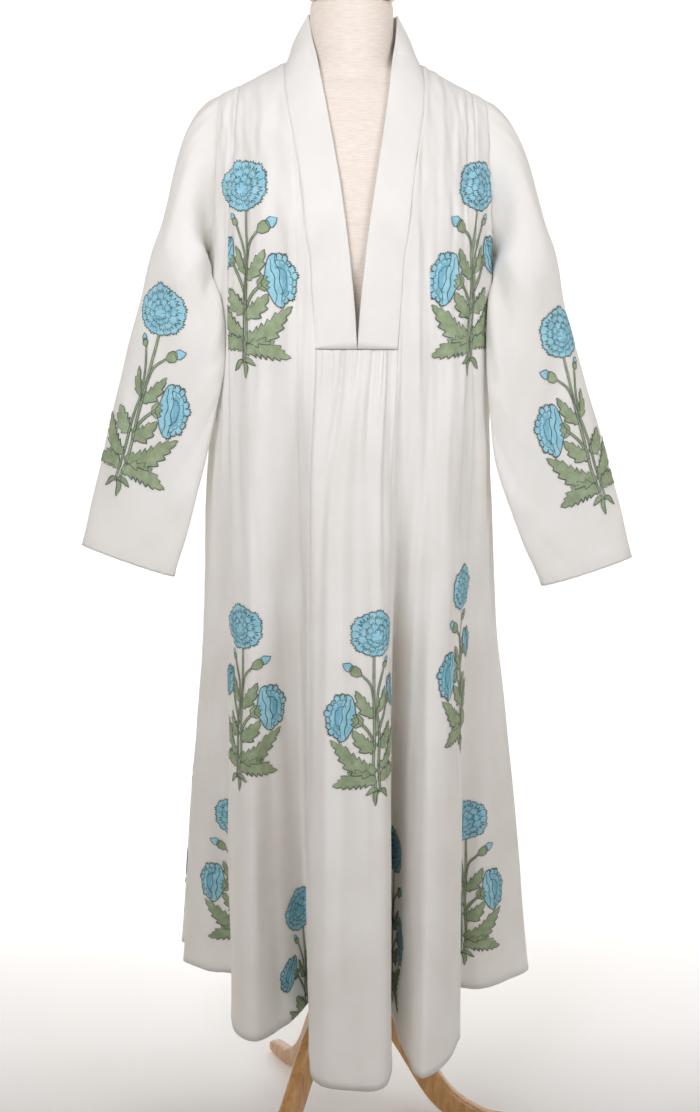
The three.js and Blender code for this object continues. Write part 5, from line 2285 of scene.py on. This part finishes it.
@dataclass
class Studio:
    """Pale floor, painted whiter and glowing away from the dress, soft lights and the camera.

    Attributes:
        axis: x and y of the pole in the row frame, metres.
        camera_turn: how far the camera goes round the pole, degrees.
        camera_tilt: how far it looks down, degrees.
        camera_roll: how far it leans, degrees.
        camera_distance: distance from the pole, metres.
        camera_height: height over the floor, metres.
        camera_offset: sideways shift, metres.
        lens: focal length, millimetres.
    """

    axis: Array
    camera_turn: float = 4.0
    camera_tilt: float = 9.5
    camera_roll: float = 0.5
    camera_distance: float = 2.5
    camera_height: float = 1.269
    camera_offset: float = 0.002
    lens: float = 58.27

    def build(self) -> None:
        """Builds the studio."""
        scene = bpy.context.scene
        self.floor()
        self.world(scene)
        self.light("key_window", (-0.8, -1.5, 1.95), 1.1, 9.0, "#f4f6ff", 1.32, 1.9)
        self.light("fill_window", (1.6, -1.6, 1.75), 1.3, 8.4, "#f4f6ff", 1.3, 1.9)
        self.light("top_soft", (0.1, -0.2, 3.2), 1.8, 3, "#ffffff", 1.2)
        self.light("back_soft", (0.6, 2.2, 2.3), 1.8, 12, "#ffffff", 0.9)
        self.camera(scene)
        scene.view_settings.view_transform = "Standard"
        scene.view_settings.look = "None"

    def floor(self) -> None:
        """A pale sweep: flat under the object, curving up far behind it; painted grey near the dress, painted
        whiter and with a painted glow further away.
        """
        run = [(-9.0, 0.0), (0.0, 0.0), (6.0, 0.0)]
        run += [(6.0 + 1.5 * math.sin(a), 1.5 - 1.5 * math.cos(a)) for a in np.linspace(0.1, math.pi / 2, 12)]
        run += [(7.5, 9.0)]
        points = [(x, y, z) for y, z in run for x in (-10.0, 10.0)]
        faces = [(2 * i, 2 * i + 1, 2 * i + 3, 2 * i + 2) for i in range(len(run) - 1)]
        mesh = bpy.data.meshes.new("studio_sweep")
        mesh.from_pydata([(x, y, z - 0.0005) for x, y, z in points], [], faces)
        mesh.polygons.foreach_set("use_smooth", [True] * len(faces))
        bench = Bench.start("studio_paper_painted_glow")
        place = bench.add("ShaderNodeTexCoord").outputs["Object"]
        split = bench.add("ShaderNodeSeparateXYZ", Vector=place)
        back = bench.add(
            "ShaderNodeMapRange", Value=split.outputs["Y"], i1=-0.6, i2=1.4, i3=0.0, i4=1.0
        ).outputs[0]
        front = bench.add(
            "ShaderNodeMapRange", Value=split.outputs["Y"], i1=-2.2, i2=-4.2, i3=0.0, i4=0.8
        ).outputs[0]
        far = bench.add("ShaderNodeMath", {"operation": "MAXIMUM"}, i0=back, i1=front).outputs[0]
        # Painted light: the paper is grey near the dress and painted whiter away from it
        colour = bench.ramp(far, ((0.1, "#cfcdc9"), (0.45, "#ffffff")))
        # Painted light: the paper away from the dress glows a little, standing in for a light behind it
        glow = bench.ramp(far, ((0.28, "#3c3c3c"), (0.9, "#d2d2d2")))
        face = bench.add(
            "ShaderNodeBsdfPrincipled",
            Base_Color=colour,
            Roughness=0.95,
            IOR=1.3,
            Emission_Color=glow,
            Emission_Strength=1.0,
        )
        mesh.materials.append(bench.close(face))
        obj = bpy.data.objects.new("studio_sweep", mesh)
        bpy.context.scene.collection.objects.link(obj)

    @staticmethod
    def world(scene: bpy.types.Scene) -> None:
        """Light from all round: pale along the horizon, warm and dim overhead.

        Args:
            scene: the scene.
        """
        world = bpy.data.worlds.new("white_room")
        world.use_nodes = True
        nodes, links = world.node_tree.nodes, world.node_tree.links
        place = nodes.new("ShaderNodeTexCoord")
        split = nodes.new("ShaderNodeSeparateXYZ")
        links.new(place.outputs["Generated"], split.inputs[0])
        # Pale and bright along the horizon, warm and dim overhead
        ramp = nodes.new("ShaderNodeValToRGB")
        ramp.color_ramp.elements[0].position = 0.16
        ramp.color_ramp.elements[0].color = linear("#dddbd8")
        ramp.color_ramp.elements[1].position = 0.3
        ramp.color_ramp.elements[1].color = linear("#7b7163")
        links.new(split.outputs["Z"], ramp.inputs[0])
        links.new(ramp.outputs[0], nodes["Background"].inputs["Color"])
        scene.world = world

    @staticmethod
    def light(
        name: str,
        place: Sequence[float],
        size: float,
        power: float,
        colour: str,
        aim: float,
        spread: float = math.pi,
    ) -> None:
        """A soft area light pointed at the dress.

        Args:
            name: its name.
            place: its place, metres.
            size: its width, metres.
            power: watts.
            colour: screen colour.
            aim: height it points at, metres.
            spread: full angle of its cone, radians.
        """
        data = bpy.data.lights.new(name, "AREA")
        data.size = size
        data.energy = power
        data.spread = spread
        data.color = linear(colour)[:3]
        obj = bpy.data.objects.new(name, data)
        obj.location = place
        obj.rotation_euler = (Vector((0, 0, aim)) - Vector(place)).to_track_quat("-Z", "Y").to_euler()
        bpy.context.scene.collection.objects.link(obj)

    def camera(self, scene: bpy.types.Scene) -> None:
        """The camera at the photograph's angle.

        Args:
            scene: the scene.
        """
        data = bpy.data.cameras.new("camera")
        data.lens = self.lens
        data.sensor_width = 36.0
        data.clip_end = 60.0
        obj = bpy.data.objects.new("camera", data)
        turn, tilt = math.radians(self.camera_turn), math.radians(self.camera_tilt)
        spot = Matrix.Rotation(-turn, 4, "Z") @ Vector((self.camera_offset, -self.camera_distance, 0.0))
        aim = Matrix.Rotation(-turn, 4, "Z") @ Matrix.Rotation(math.pi / 2 - tilt, 4, "X")
        roll = Matrix.Rotation(math.radians(self.camera_roll), 4, "Z")
        place = Matrix.Translation((spot.x + self.axis[0], spot.y + self.axis[1], self.camera_height))
        obj.matrix_world = place @ aim @ roll
        scene.collection.objects.link(obj)
        scene.camera = obj


# Panels with their cut sizes: width at the hem, length, flat area, in metres
PANELS = (
    Panel("front_centre", "band_right", "band_left", (0.29, 0.98), 0.185, top=V_FOOT),
    Panel("front_right", "princess_right", "band_right", (0.37, 1.38), 0.246),
    Panel("front_left", "band_left", "princess_left", (0.37, 1.38), 0.246),
    Panel("side_front_right", "side_right_front", "princess_right", (0.3, 1.33), 0.178),
    Panel("side_front_left", "princess_left", "side_left_front", (0.3, 1.33), 0.178),
    Panel("side_back_right", "back_right", "side_right_back", (0.29, 1.33), 0.172),
    Panel("side_back_left", "side_left_back", "back_left", (0.29, 1.33), 0.172),
    Panel("back_centre", "back_left", "back_right", (1.05, 1.38), 0.71, neckline=True),
)


@dataclass
class Dress:
    """The whole dress: panels, neckband, sleeves, prints and stitching.

    Attributes:
        shop: the workshop.
        shape: its surface.
    """

    shop: Workshop
    shape: DressShape = field(default_factory=DressShape)

    def build(self, cotton: Material, inks: dict[Ink, Material], thread: Material) -> None:
        """Args:
        cotton: the cloth.
        inks: the print's colours.
        thread: the sewing thread.
        """
        run = PrintRun(inks)
        pieces: dict[str, tuple[Thing, Panel]] = {}
        for panel in PANELS:
            obj = panel.build(self.shop, self.shape, cotton)
            pieces[panel.name] = (obj, panel)
        sleeves = {side: Sleeve(side, self.shape) for side in Side}
        sleeve_objects = {side: sleeve.build(self.shop, cotton) for side, sleeve in sleeves.items()}
        bands = {side: Neckband(side) for side in Side}
        band_objects = {side: band.build(self.shop, self.shape, cotton) for side, band in bands.items()}
        for name, (obj, panel) in pieces.items():
            plants = [run.on_panel(self.shape, panel, *row) for names, *row in PRINTS if name in names]
            extras = run.press(self.shop, name, plants) if plants else []
            extras.append(self.hem_stitches(panel, thread))
            LOG.info("%s: cloth area %.4f m2, stated %.4f", name, cloth_area(obj), panel.area)
        for side, obj in sleeve_objects.items():
            sleeve = sleeves[side]
            plants = [run.on_sleeve(sleeve, *row) for key, *row in SLEEVE_PRINTS if key is side]
            extras = run.press(self.shop, obj.name, plants) if plants else []
            extras.append(self.cuff_stitches(sleeve, thread))
            LOG.info("%s: cloth area %.4f m2, stated %.4f", obj.name, cloth_area(obj), sleeve.area)
        for side, obj in band_objects.items():
            stitch = self.band_stitches(bands[side], thread)
            LOG.info("%s: cloth area %.4f m2", obj.name, cloth_area(obj))

    def hem_stitches(self, panel: Panel, thread: Material) -> Thing:
        """The stitched line above the hem of a panel.

        Args:
            panel: the panel.
            thread: the sewing thread.

        Returns:
            The stitches.
        """
        columns, height = 900, 10.5
        level = np.full(columns, 1 - height / (self.shape.armpit - self.shape.hem))
        a, b = panel.bounds(self.shape, level[:1])
        place = np.linspace(a[0], b[0], columns)
        path = self.shape.surface(place, level)
        normal, _ = self.shape.directions(self.shape.surface, place, level)
        points, faces = Stitches().along(path, normal)
        return self.shop.make(f"{panel.name}_hem_stitches", points, faces, thread, Slot.COTTON)

    def cuff_stitches(self, sleeve: Sleeve, thread: Material) -> Thing:
        """The stitched line above a cuff's edge.

        Args:
            sleeve: the sleeve.
            thread: the sewing thread.

        Returns:
            The stitches.
        """
        way = np.array([5.78, 5.84, 5.9])
        rows = sleeve.surface(way)
        normal = sleeve.outward(rows)[1]
        path = np.concatenate([rows[1], rows[1][:1]])
        points, faces = Stitches().along(path, np.concatenate([normal, normal[:1]]))
        name = f"sleeve_{sleeve.side.name.lower()}_cuff_stitches"
        return self.shop.make(name, points, faces, thread, Slot.COTTON)

    def band_stitches(self, band: Neckband, thread: Material) -> Thing:
        """The stitched line beside the seam of the neckband.

        Args:
            band: the half band.
            thread: the sewing thread.

        Returns:
            The stitches.
        """
        v = np.linspace(-0.98, 0.985, 700)
        share = np.full_like(v, 0.045)
        path = band.sheet(self.shape, share, v, lift=band.thick)
        beside = band.sheet(self.shape, share + 0.03, v, lift=band.thick)
        way = np.gradient(path, axis=0)
        normal = unit(np.cross(way, beside - path)) * band.side.value
        points, faces = Stitches().along(path, normal)
        name = f"neckband_{band.side.name.lower()}_stitches"
        return self.shop.make(name, points, faces, thread, Slot.COTTON)


# Plants on the sleeves: side, turn round the sleeve and way down it of the round flower, lean
SLEEVE_PRINTS = (
    (Side.RIGHT, 75, 2.06, -0.075),
    (Side.LEFT, 60, 2.32, -0.045),
    (Side.RIGHT, 262, 2.0, 0.0),
    (Side.LEFT, 262, 2.1, 0.0),
)


def main() -> None:
    """Builds everything in order."""
    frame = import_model()
    pole_low, pole_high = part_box("pole")
    axis = np.array([(pole_low[0] + pole_high[0]) / 2, (pole_low[1] + pole_high[1]) / 2])
    shop = Workshop(axis)
    cotton = CottonFinish().build()
    inks = {
        Ink.BLUE: InkFinish("block_print_light_blue", "#86bfd0", "#a3d3e2").build(),
        Ink.DEEP: InkFinish("block_print_deep_blue", "#6caabf", "#82bccf").build(),
        Ink.GREEN: InkFinish("block_print_sage_green", "#869674", "#a0ae8d").build(),
        Ink.LINE: InkFinish("block_print_dark_outline", "#46514a", "#626d63").build(),
    }
    thread = InkFinish("cotton_sewing_thread", "#ece7db", "#f6f2e8").build()
    DressForm().build(shop, frame["nodes"], LinenFinish().build(), WoodFinish().build())
    Dress(shop).build(cotton, inks, thread)
    Studio(axis).build()


if __name__ == "__main__":
    main()
